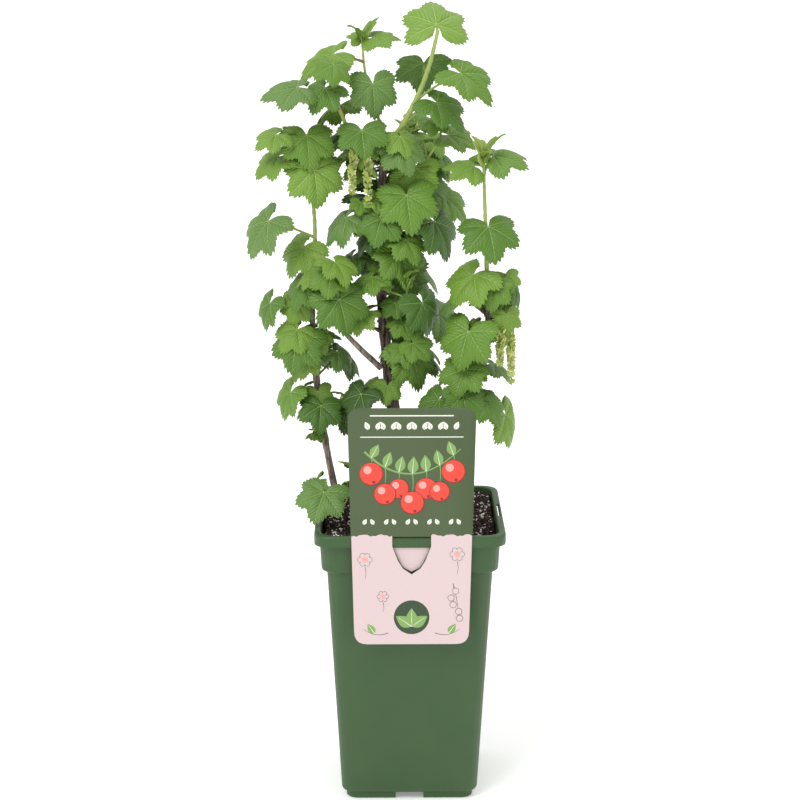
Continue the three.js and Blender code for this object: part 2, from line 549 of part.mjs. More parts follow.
// A whole leaf: the blade with a three-sided stalk that bends up into it from the side it comes
// from, so that the end of the stalk takes the place of that side's middle point.
function leafSolid(plan, thick, spread, stalkSpread) {
  const face = plan.join.clone().sub(plan.arch).dot(plan.normal) < 0 ? -1 : 1;
  const into = plan.normal.clone().multiplyScalar(face);
  const neck = plan.join.clone().addScaledVector(into, -2.2);
  const bend = new THREE.QuadraticBezierCurve3(plan.root, plan.arch, neck);
  const centres = [plan.root, bend.getPoint(0.5), neck,
    plan.join.clone().addScaledVector(into, -thick / 2)];
  const ways = [bend.getTangent(0), bend.getTangent(0.5), bend.getTangent(1).add(into), into];
  const points = [];
  centres.forEach((centre, ring) => {
    const turn = new THREE.Quaternion().setFromUnitVectors(into, ways[ring].normalize());
    const radius = mix(STALK_RADIUS[0], STALK_RADIUS[1], ring / 3) + stalkSpread;
    for (const angle of [-120, 0, 120]) {
      const offset = plan.midrib.clone().multiplyScalar(Math.cos(radians(angle)))
        .addScaledVector(plan.side, face * Math.sin(radians(angle)));
      points.push(centre.clone().addScaledVector(offset.applyQuaternion(turn), radius));
    }
  });
  const triangles = [0, 1, 2];
  for (let low = 0; low < 9; low += 3) {
    for (const [a, b] of [[0, 1], [1, 2], [2, 0]]) {
      triangles.push(low + 3 + a, low + 3 + b, low + b, low + 3 + a, low + b, low + a);
    }
  }
  const [left, front, right, apex] = [9, 10, 11, 12];
  points.push(plan.join.clone().addScaledVector(into, thick / 2));
  const rim = [...OUTLINE.slice(1).reverse().map(([angle, reach]) => [-angle, reach]), ...OUTLINE];
  const first = points.length;
  points.push(...rim.map(([angle, reach]) => bladePoint(plan, face * angle, reach * spread)));
  const last = points.length - 1;
  const nearest = (k) => (Math.abs(rim[k][0]) < 60 ? front : rim[k][0] < 0 ? left : right);
  triangles.push(apex, first, left, apex, right, last, apex, left, right);
  for (let k = 0; first + k < last; k += 1) {
    triangles.push(apex, first + k + 1, first + k, nearest(k), first + k, first + k + 1);
    if (nearest(k + 1) !== nearest(k)) triangles.push(nearest(k), first + k + 1, nearest(k + 1));
  }
  const geometry = new THREE.BufferGeometry().setFromPoints(points);
  geometry.setIndex(triangles);
  return toSolid(geometry);
}

// A hanging flower string: a thin stalk, then a tapering chain of small flowers.
function strigSolid(mass, i) {
  const roll = dice(mass.seed * 100 + 60 + i);
  const bearing = radians(mass.first + 60 - 50 * i + 30 * roll());
  const out = new THREE.Vector3(Math.cos(bearing), Math.sin(bearing), 0);
  const root = mass.curve.getPoint(0.5 + 0.2 * i);
  const length = 34 - 8 * i + 6 * roll();
  const path = new THREE.CatmullRomCurve3([
    root,
    root.clone().addScaledVector(out, 7).addScaledVector(UP, 3),
    root.clone().addScaledVector(out, 10).addScaledVector(UP, -0.35 * length),
    root.clone().addScaledVector(out, 10.5).addScaledVector(UP, -length),
  ]);
  const radiusAt = (t) => (t < 0.3 ? 0.8 : 1.5 + 1.1 * Math.abs(Math.sin(9 * t)) * (1.3 - t));
  return rod(path, radiusAt, 5, 12);
}

// Masses of foliage

const placed = [];        // what has been set so far: { owner, solid, blade }

function boxesMeet(a, b) {
  const [p, q] = [a.boundingBox(), b.boundingBox()];
  return [0, 1, 2].every((k) => p.min[k] <= q.max[k] && q.min[k] <= p.max[k]);
}

function isClear(solid, others) {
  return others.every((other) => !boxesMeet(solid, other) || solid.intersect(other).isEmpty());
}

function isInsideCrown(solid) {
  const { min, max } = solid.boundingBox();
  return min[0] > CROWN.left && max[0] < CROWN.right && min[1] > CROWN.front
    && max[1] < CROWN.back && max[2] < CROWN.top;
}

function massStem(mass) {
  mass.curve = new LimbCurve(seat(mass.on, mass.at, mass.lean, mass.thick), mass);
  const steps = Math.max(2, Math.round(mass.curve.getLength() / 14));
  return rod(mass.curve, (t) => mass.thick * (1 - 0.45 * t), 5, steps);
}

// A leaf goes on where a slightly larger copy of it touches no other mass, and where its blade
// crosses nothing of its own mass.
function tryLeaf(mass, i) {
  const plan = leafPlan(mass, i);
  const blade = bladeSolid(plan, LEAF_THICK, 1);
  const leaf = leafSolid(plan, LEAF_THICK, 1, 0);
  const wide = leafSolid(plan, LEAF_THICK + 2 * GAP, 1.03, GAP);
  const own = placed.filter((other) => other.owner === mass.name);
  const clear = isInsideCrown(leaf)
    && isClear(wide, placed.filter((other) => other.owner !== mass.name).map((other) => other.solid))
    && isClear(blade, own.map((other) => other.solid))
    && isClear(leaf, own.filter((other) => other.blade).map((other) => other.blade));
  if (!clear) return false;
  placed.push({ owner: mass.name, solid: leaf, blade });
  mass.solids.push(leaf);
  return true;
}

// Stems go first, then flower strings, then every mass's leaves in turn, the leading ones first.
function growMasses() {
  for (const mass of MASSES) {
    const stem = massStem(mass);
    mass.solids = [stem];
    mass.grown = 0;
    placed.push({ owner: mass.name, solid: stem });
  }
  for (const mass of MASSES) {
    for (let i = 0; i < (mass.strigs ?? 0); i += 1) {
      const strig = strigSolid(mass, i);
      const others = placed.filter((other) => other.owner !== mass.name);
      if (isInsideCrown(strig) && isClear(strig, others.map((other) => other.solid))) {
        placed.push({ owner: mass.name, solid: strig, blade: strig });
        mass.solids.push(strig);
      }
    }
  }
  const most = Math.max(...MASSES.map((mass) => mass.leaves));
  for (let i = 0; i < most * SPARE; i += 1) {
    for (const mass of MASSES) {
      const wanted = mass.grown < mass.leaves && i < mass.leaves * SPARE;
      if (wanted && tryLeaf(mass, i)) mass.grown += 1;
    }
  }
}

// Assembly

const bush = new THREE.Group();

function add(name, solid, colour, roughness) {
  const material = new THREE.MeshStandardMaterial({ color: colour, roughness, metalness: 0 });
  const mesh = new THREE.Mesh(toGeometry(solid), material);
  mesh.name = name;
  bush.add(mesh);
}

const base = { pot: makePot(), soil: makeSoil(), label: makeLabel() };
for (const [name, solid] of Object.entries(base)) {
  placed.push({ owner: name, solid });
  add(name, solid, COLOURS[name], name === 'soil' ? 1 : 0.45);
}

for (const name of Object.keys(LIMBS)) {
  const limb = makeLimb(name);
  placed.push({ owner: name, solid: limb });
  add(name, limb, COLOURS.bark, 0.85);
}

growMasses();
for (const mass of MASSES) {
  const colour = mass.name.endsWith('shoot') ? COLOURS.young : COLOURS.leaf;
  add(mass.name, largestPiece(wasm.Manifold.union(mass.solids)), colour, 0.6);
}

export default bush;
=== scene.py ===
import math
import bmesh
import bpy
import numpy as np
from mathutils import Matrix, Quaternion, Vector, noise
from mathutils.bvhtree import BVHTree


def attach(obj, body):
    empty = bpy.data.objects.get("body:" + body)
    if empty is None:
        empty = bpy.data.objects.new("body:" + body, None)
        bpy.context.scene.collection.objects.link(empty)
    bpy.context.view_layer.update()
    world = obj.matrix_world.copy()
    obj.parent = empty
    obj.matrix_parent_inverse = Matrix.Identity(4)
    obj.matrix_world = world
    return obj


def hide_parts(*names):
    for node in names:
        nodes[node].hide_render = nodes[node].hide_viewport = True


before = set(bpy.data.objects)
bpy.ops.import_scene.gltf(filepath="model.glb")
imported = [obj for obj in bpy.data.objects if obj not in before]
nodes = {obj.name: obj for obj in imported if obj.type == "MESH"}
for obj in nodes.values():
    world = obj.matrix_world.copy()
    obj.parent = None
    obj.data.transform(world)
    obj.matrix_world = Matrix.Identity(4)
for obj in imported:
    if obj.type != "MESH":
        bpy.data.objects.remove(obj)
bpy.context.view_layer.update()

# Pot: a deep square nursery pot, moulded in one piece of polypropylene.
# It takes the frame's own shape, and its edges get the small radii that a mould leaves.
MM = 0.001


def linear(colour):
    shares = [int(colour[k:k + 2], 16) / 255 for k in (1, 3, 5)]
    return [s / 12.92 if s <= 0.04045 else ((s + 0.055) / 1.055) ** 2.4 for s in shares] + [1.0]


def add_node(tree, kind, inputs, **settings):
    node = tree.nodes.new(kind)
    for name, value in settings.items():
        setattr(node, name, value)
    for name, value in inputs.items():
        if isinstance(value, bpy.types.NodeSocket):
            tree.links.new(value, node.inputs[name])
        else:
            node.inputs[name].default_value = value
    return node


def material(name, colour, roughness, ior=1.5, specular=0.5):
    made = bpy.data.materials.new(name)
    made.use_nodes = True
    shader = made.node_tree.nodes["Principled BSDF"]
    shader.inputs["Base Color"].default_value = linear(colour)
    shader.inputs["Roughness"].default_value = roughness
    shader.inputs["IOR"].default_value = ior
    shader.inputs["Specular IOR Level"].default_value = specular
    return made, made.node_tree, shader


def grain(tree, per_mm, detail=3.0):
    """Noise with so many spots to the millimetre, so that 0.5 gives spots of 2 mm."""
    place = add_node(tree, "ShaderNodeTexCoord", {})
    return add_node(tree, "ShaderNodeTexNoise", {
        "Vector": place.outputs["Object"], "Scale": per_mm / MM, "Detail": detail})


def spotted(tree, shader, texture, colours, low, high):
    ramp = add_node(tree, "ShaderNodeValToRGB", {"Fac": texture.outputs[0]})
    ramp.color_ramp.elements[0].position = low
    ramp.color_ramp.elements[1].position = high
    for stop, colour in zip(ramp.color_ramp.elements, colours):
        stop.color = linear(colour)
    tree.links.new(ramp.outputs["Color"], shader.inputs["Base Color"])


def bumped(tree, shader, height, depth_mm, strength=1.0):
    bump = add_node(tree, "ShaderNodeBump", {
        "Height": height, "Distance": depth_mm * MM, "Strength": strength})
    tree.links.new(bump.outputs["Normal"], shader.inputs["Normal"])


def finish(piece, slot, *replaced):
    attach(piece, "root")
    if replaced:
        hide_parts(*replaced)
    return piece


def piece_from(bm, name, *materials):
    """A piece of the object from a finished bmesh, with its place in its mesh."""
    mesh = bpy.data.meshes.new(name)
    bm.to_mesh(mesh)
    bm.free()
    for used in materials:
        mesh.materials.append(used)
    piece = bpy.data.objects.new(name, mesh)
    bpy.context.collection.objects.link(piece)
    return piece


def frame_copy(node):
    """A merged copy of a node of the frame, without the seams inside its flat faces."""
    bm = bmesh.new()
    bm.from_mesh(nodes[node].data)
    bmesh.ops.remove_doubles(bm, verts=bm.verts, dist=1e-6)
    bmesh.ops.dissolve_limit(bm, angle_limit=math.radians(1), verts=bm.verts, edges=bm.edges)
    return bm


def round_edges(piece, radius_mm, segments):
    bevel = piece.modifiers.new("edge radius", "BEVEL")
    bevel.width = radius_mm * MM
    bevel.segments = segments
    bevel.limit_method = "ANGLE"
    bevel.angle_limit = math.radians(32)
    bevel.harden_normals = True
    piece.data.shade_smooth()


# Moulded polypropylene looks even and half matt, with the faint skin that the mould gives it.
# The skin's real grain is too fine to show, and is drawn 0.7 mm coarse over clouds of 33 mm.
pot_green, tree, shader = material("polypropylene, moulded", "#37542e", 0.44, specular=0.4)
spotted(tree, shader, grain(tree, 0.03, 5.0), ("#34522c", "#39562f"), 0.3, 0.7)
bumped(tree, shader, grain(tree, 1.4, 2.0).outputs[0], 0.12, 0.35)
bm = frame_copy("pot")
for face in bm.faces:
    face.material_index = 0
pot = finish(piece_from(bm, "nursery_pot", pot_green), "pot", "pot")
round_edges(pot, 0.5, 2)

# Soil: dark peat with bark chips and white grains of perlite, loosely filled to under the rim.
# Its surface is a grid pushed into lumps and a hollow at the right; the grains are set on it.
SOIL_TOP = 207
SOIL_CUT = 196       # the frame's solid is kept below this height, and the lumpy top stands on it
REACH = 64.2         # half width of the soil's top
CORNER = 11.5


def soil_height(x, y):
    """Lumps about 16 mm wide, crumbs of 2.6 mm, and a hollow 6 mm deep at the right front."""
    lumps = noise.fractal(Vector((x, y, 0)) / 16, 0.9, 2.1, 5) * 3.2
    crumbs = noise.noise(Vector((x, y, 7)) / 2.6) * 1.1
    hollow = 6 * math.exp(-((x - 34) ** 2 + (y + 30) ** 2) / 900)
    back = 2.2 * max(0, y) / REACH
    return SOIL_TOP - 0.4 + lumps + crumbs - hollow + back


def in_pot(x, y):
    """The same place, or the nearest one inside the pot's round corners."""
    over = np.array([abs(x), abs(y)]) - (REACH - CORNER)
    if over.min() > 0 and np.hypot(*over) > CORNER:
        over *= CORNER / np.hypot(*over)
        x = math.copysign(REACH - CORNER + over[0], x)
        y = math.copysign(REACH - CORNER + over[1], y)
    return x, y


def shape_piece(name, vertices, triangles, which, materials, uv=None):
    mesh = bpy.data.meshes.new(name)
    mesh.vertices.add(len(vertices))
    mesh.vertices.foreach_set("co", (np.asarray(vertices) * MM).astype(np.float32).ravel())
    mesh.loops.add(3 * len(triangles))
    mesh.loops.foreach_set("vertex_index", np.asarray(triangles, np.int32).ravel())
    mesh.polygons.add(len(triangles))
    mesh.polygons.foreach_set("loop_start", np.arange(0, 3 * len(triangles), 3, dtype=np.int32))
    mesh.polygons.foreach_set("material_index", np.asarray(which, np.int32))
    mesh.polygons.foreach_set("use_smooth", np.ones(len(triangles), bool))
    if uv is not None:
        layer = mesh.uv_layers.new(name="veins")
        layer.uv.foreach_set("vector", uv[np.asarray(triangles).ravel()].astype(np.float32).ravel())
    mesh.update(calc_edges=True)
    for used in materials:
        mesh.materials.append(used)
    piece = bpy.data.objects.new(name, mesh)
    bpy.context.collection.objects.link(piece)
    return piece


class Heap:
    """Many small shapes, gathered to be joined into one piece."""

    def __init__(self):
        self.vertices, self.triangles, self.which, self.uv, self.count = [], [], [], [], 0

    def add(self, vertices, triangles, which, uv=None):
        self.vertices.append(vertices)
        self.triangles.append(np.asarray(triangles) + self.count)
        self.which.append(np.broadcast_to(which, len(triangles)))
        self.uv.append(np.zeros((len(vertices), 2)) if uv is None else uv)
        self.count += len(vertices)

    def piece(self, name, materials):
        return shape_piece(name, np.concatenate(self.vertices), np.concatenate(self.triangles),
                           np.concatenate(self.which), materials, np.concatenate(self.uv))


# Peat is nearly black, rough and without any shine, and its crumbs are 1 to 2 mm.
peat, tree, shader = material("peat potting soil", "#1e1614", 0.95, specular=0.1)
spotted(tree, shader, grain(tree, 0.45, 6.0), ("#201917", "#54463f"), 0.35, 0.72)
bumped(tree, shader, grain(tree, 0.9, 8.0).outputs[0], 1.2)
bm = frame_copy("soil")
everything = list(bm.verts) + list(bm.edges) + list(bm.faces)
bmesh.ops.bisect_plane(bm, geom=everything, plane_co=(0, 0, SOIL_CUT * MM),
                       plane_no=(0, 0, 1), clear_outer=True)
surface = bmesh.ops.create_grid(bm, x_segments=150, y_segments=150, size=1.0)["verts"]
for vertex in surface:
    edge = max(abs(vertex.co.x), abs(vertex.co.y)) > 0.9999
    x, y = in_pot(vertex.co.x * REACH, vertex.co.y * REACH)
    z = SOIL_CUT if edge else soil_height(x, y)
    vertex.co = Vector((x, y, z)) * MM
soil = finish(piece_from(bm, "potting_soil", peat), "soil", "soil")
soil.data.shade_smooth()

# Perlite is chalk white, and the chips of bark and crumbs of peat are dull browns.
GRAINS = 2300
perlite = material("perlite", "#e4dfd8", 0.9)[0]
chip_bark = material("bark chip", "#4a352a", 0.85)[0]
crumb = material("dark peat crumb", "#2b201b", 0.95)[0]
ball = bmesh.new()
bmesh.ops.create_icosphere(ball, subdivisions=1, radius=1)
BALL = np.array([v.co for v in ball.verts])
BALL_FACES = np.array([[v.index for v in f.verts] for f in ball.faces])
ball.free()
rng = np.random.default_rng(7)
grains = Heap()
for _ in range(GRAINS):
    x, y = in_pot(*rng.uniform(-62, 62, 2))
    kind = rng.choice(3, p=(0.36, 0.1, 0.54))
    size = (rng.uniform(0.35, 1.35), rng.uniform(0.8, 1.9), rng.uniform(0.6, 1.5))[kind]
    shape = BALL * (1, rng.uniform(0.6, 1), rng.uniform(0.3, 0.8)) * size
    shape = shape * (1 + 0.25 * rng.standard_normal((len(BALL), 1)))
    turn = np.array(Quaternion(rng.standard_normal(4)).normalized().to_matrix())
    grains.add(shape @ turn + (x, y, soil_height(x, y) + 0.3 * size), BALL_FACES, kind)
finish(grains.piece("soil_grains", (perlite, chip_bark, crumb)), "soil", "soil")

# Label: a stiff card with round corners, hooked over the rim by its tongue.
# Its print is a plain design of its own: a garland of leaves and berries on green over pale pink.
# A plastic card is smooth and half glossy, and its inks have nearly the same shine. Its faint
# unevenness is drawn 1.4 mm coarse, so that it shows.
card_green, tree, shader = material("printed plastic card, green", "#4a5939", 0.4, specular=0.4)
bumped(tree, shader, grain(tree, 0.7, 2.0).outputs[0], 0.05, 0.3)
card = finish(piece_from(frame_copy("label"), "card_label", card_green), "label", "label")
round_edges(card, 0.12, 1)
FACE, TONGUE_FACE = -71.0, -68.5       # where the fronts of card and tongue lie along Y
INK_STEP = 0.03                        # from one layer of ink to the next
CARD_BOTTOM, CARD_TOP = 131, 309
FOOT_HALF, HEAD_HALF = 42.25, 46.25    # half widths of the card's ends
CARD_CORNER = 10
MIDDLE = 1                             # how far right of the pot's middle the card hangs
TEAR = 213.5                           # height at which the green field meets the pink one
inks = [material("printing ink, " + name, colour, 0.38, specular=0.4)[0] for name, colour in (
    ("pale pink", "#d3bebe"), ("white", "#e9e9e2"), ("berry red", "#dd4536"),
    ("berry light", "#f2a29a"), ("leaf green", "#7ea25a"), ("deep red", "#8e241c"),
    ("line grey", "#6a6661"), ("dark green", "#33472f"))]
PINK, WHITE, RED, LIGHT, LEAF, DEEP, GREY, DARK = range(8)
ink = bmesh.new()


def print_shape(outline, colour, layer):
    """One flat shape of ink, in front of the card and of the layers below it."""
    level = FACE - INK_STEP - INK_STEP * layer
    face = ink.faces.new([ink.verts.new(Vector((x, level, z)) * MM) for x, z in outline])
    face.material_index = colour
    face.normal_update()
    if face.normal.y > 0:
        face.normal_flip()


def disc(x, z, radius, colour, layer, steps=28):
    turns = [2 * math.pi * k / steps for k in range(steps)]
    print_shape([(x + radius * math.cos(a), z + radius * math.sin(a)) for a in turns], colour, layer)


def stroke(start, bend, end, width, colour, layer, steps=14):
    """A bent stroke of the pen that thins towards its end."""
    start, bend, end = Vector(start), Vector(bend), Vector(end)
    sides = [[], []]
    for k in range(steps + 1):
        t = k / steps
        point = start.lerp(bend, t).lerp(bend.lerp(end, t), t)
        way = (bend.lerp(end, t) - start.lerp(bend, t)).normalized()
        for side, sign in zip(sides, (1, -1)):
            side.append(point + Vector((-way.y, way.x)) * sign * width * (1 - 0.6 * t) / 2)
    print_shape(sides[0] + sides[1][::-1], colour, layer)


def half_width(z):
    """Half the card's width at a height: it widens upwards."""
    return FOOT_HALF + (HEAD_HALF - FOOT_HALF) * (z - CARD_BOTTOM) / (CARD_TOP - CARD_BOTTOM)


def leaf_print(x, z, size, turn, colour, layer):
    """A plain pointed leaf with its foot at x, z and a stalk-like midrib."""
    way = Vector((math.cos(turn), math.sin(turn)))
    aside = Vector((-way.y, way.x))
    steps = [k / 12 for k in range(13)]
    sides = [[Vector((x, z)) + way * size * t + aside * side * 0.3 * size * math.sin(math.pi * t ** 0.8)
              for t in steps] for side in (1, -1)]
    print_shape(sides[0] + sides[1][11:0:-1], colour, layer)
    stroke((x, z), Vector((x, z)) + way * size * 0.4, Vector((x, z)) + way * size * 0.85, 0.5,
           WHITE if colour == LEAF else LEAF, layer + 1)


def outlined(x, z, radius, colour, layer):
    """A pink disc in a thin line."""
    disc(x, z, radius, colour, layer)
    disc(x, z, radius - 0.35, PINK, layer + 1)


def mirrored(half):
    """An outline from its right half, whose last point is on the middle line."""
    return half + [(-x, z) for x, z in half[-2::-1]]


def torn(x):
    """A point of the wavy edge where the pink field ends."""
    return x, 214.4 + 0.7 * math.sin(0.5 * x) + 0.4 * math.sin(1.3 * x)


corner = [(FOOT_HALF - CARD_CORNER * (1 - t) ** 2, CARD_BOTTOM + CARD_CORNER * t ** 2)
          for t in (0, 0.2, 0.4, 0.6, 0.8, 1)]
lower = [(x - (0.25 if z > 133 else 0), z + 0.3) for x, z in corner] + [(half_width(TEAR) - 0.4, TEAR)]
window = mirrored([(14.1, 214), (14.1, 206), (10, 195), (6.4, 189.2), (0, 184.7)])
tongue = mirrored([(13.4, 206.5), (13.4, 200), (9.6, 194.2), (5.6, 189), (0, 186)])
field = lower + [torn(x) for x in range(43, 13, -2)] + window
field += [torn(x) for x in range(-14, -44, -2)] + [(-x, z) for x, z in lower[::-1]]
print_shape([(MIDDLE + x, z) for x, z in field], PINK, 0)
print_shape([(MIDDLE + x, z) for x, z in tongue], PINK, (FACE - TONGUE_FACE) / INK_STEP)
for z, half, width in ((303, 30, 0.9), (287.4, 37, 0.7)):
    print_shape([(MIDDLE - half, z), (MIDDLE + half, z), (MIDDLE + half, z + width),
                 (MIDDLE - half, z + width)], WHITE, 0)
for k in range(-6, 6):
    leaf_print(MIDDLE + 5.6 * (k + 0.5), 293.2, 6.4, math.radians(90 + 24 * (-1) ** k), WHITE, 0)

# The garland: a sagging twig with seven leaves and a berry under each.
BERRIES = 7
stroke((-33, 277), (0, 243), (36, 279), 1.6, LEAF, 1, 24)
knots = []
for k in range(BERRIES):
    t = (k + 0.5) / BERRIES
    knots.append((t, -33 + 69 * t, 277 - 68 * t * (1 - t) + 2 * t ** 2))
for k, (t, x, z) in enumerate(knots):
    leaf_print(x, z, 13 - 0.6 * abs(k - 3), math.radians(62 + 8 * k), LEAF, 2)
for k, (t, x, z) in enumerate(knots):
    drop = 3 + 8 * (k % 2) + 2 * math.sin(math.pi * t)
    size = 8.7 - 0.6 * (k % 3)
    over = 3 + 4 * (k % 2)
    stroke((x, z), (x + 1, z - 0.6 * drop), (x, z - drop), 0.8, LEAF, 2)
    disc(x, z - drop - size, size, DEEP, over)
    disc(x - 0.2, z - drop - size + 0.3, size - 0.5, RED, over + 1)
    disc(x - 0.32 * size, z - drop - 0.66 * size, 0.34 * size, LIGHT, over + 2)
    disc(x + 0.2 * size, z - drop - 1.7 * size, 0.13 * size, DEEP, over + 2)
for k in range(-5, 5):
    leaf_print(MIDDLE + 7.8 * (k + 0.5), 222.5, 5, math.radians(90 + 30 * (-1) ** k), WHITE, 1)

# The pink field: three flowers, a string of berries in line, a round mark and two sprigs.
for x, z, size in ((-33, 196, 1), (34, 200, 1), (-20, 168, 0.8)):
    for k in range(6):
        turn = k * math.pi / 3
        outlined(x + 3.4 * size * math.cos(turn), z + 3.4 * size * math.sin(turn), 2.1 * size, GREY, 1)
    disc(x, z, 2 * size, LIGHT, 4)
    stroke((x, z - 5.4 * size), (x + 1.5, z - 10 * size), (x, z - 15 * size), 0.5, GREY, 1)
for k in range(5):
    x, z = 33 - 3.4 * math.sin(1.3 * k), 172 - 5.2 * k
    stroke((31, 178), (33, 172), (x, z), 0.4, GREY, 1)
    outlined(x, z, 2.5, GREY, 2 + 2 * k)
disc(MIDDLE, 152, 13, DARK, 1, 48)
for k, turn in enumerate((35, 90, 145)):
    leaf_print(MIDDLE, 145, 14, math.radians(turn), LEAF, 2 + 2 * k)
for side in (-1, 1):
    stroke((MIDDLE + side * 17, 140), (MIDDLE + side * 27, 136), (MIDDLE + side * 35, 143), 0.6, GREY, 1)
    leaf_print(MIDDLE + side * 27, 139.5, 9, math.radians(90 - side * 35), LEAF, 2)
finish(piece_from(ink, "label_print", *inks), "label", "label")

# Limbs: three woody canes and two branches, grey-brown with fine lengthwise bark.
# Each is a tube bent along the frame's limb curve, swollen where a spur or shoot leaves it.
LIMBS = {
    "main_stem": {
        "foot": (-4.8, 4, 207.3), "lean": (-12, 6, 286), "bow": (-7.6, 0, 0),
        "ess": (2.6, 1.5, 0), "thick": (5.4, 2.3), "flare": 0.55,
    },
    "left_cane": {
        "foot": (-52.5, 17, 207.3), "lean": (-20, -7, 172), "bow": (-5, 2, 0),
        "thick": (2.7, 1.9), "flare": 0.35,
    },
    "right_cane": {
        "foot": (8.5, -5, 207.3), "lean": (48.6, -11, 173), "bow": (7.9, 0, 0),
        "ess": (-5.7, 1, 0), "thick": (3.1, 2), "flare": 0.4,
    },
    "left_branch": {
        "on": "main_stem", "at": 0.4, "lean": (-39, -18, 46), "bow": (-1.9, 0, 0),
        "thick": (2.3, 1.5), "flare": 0,
    },
    "back_branch": {
        "on": "main_stem", "at": 0.3, "lean": (8, 46, 104), "bow": (4, 5, -4),
        "thick": (2.4, 1.6), "flare": 0,
    },
}
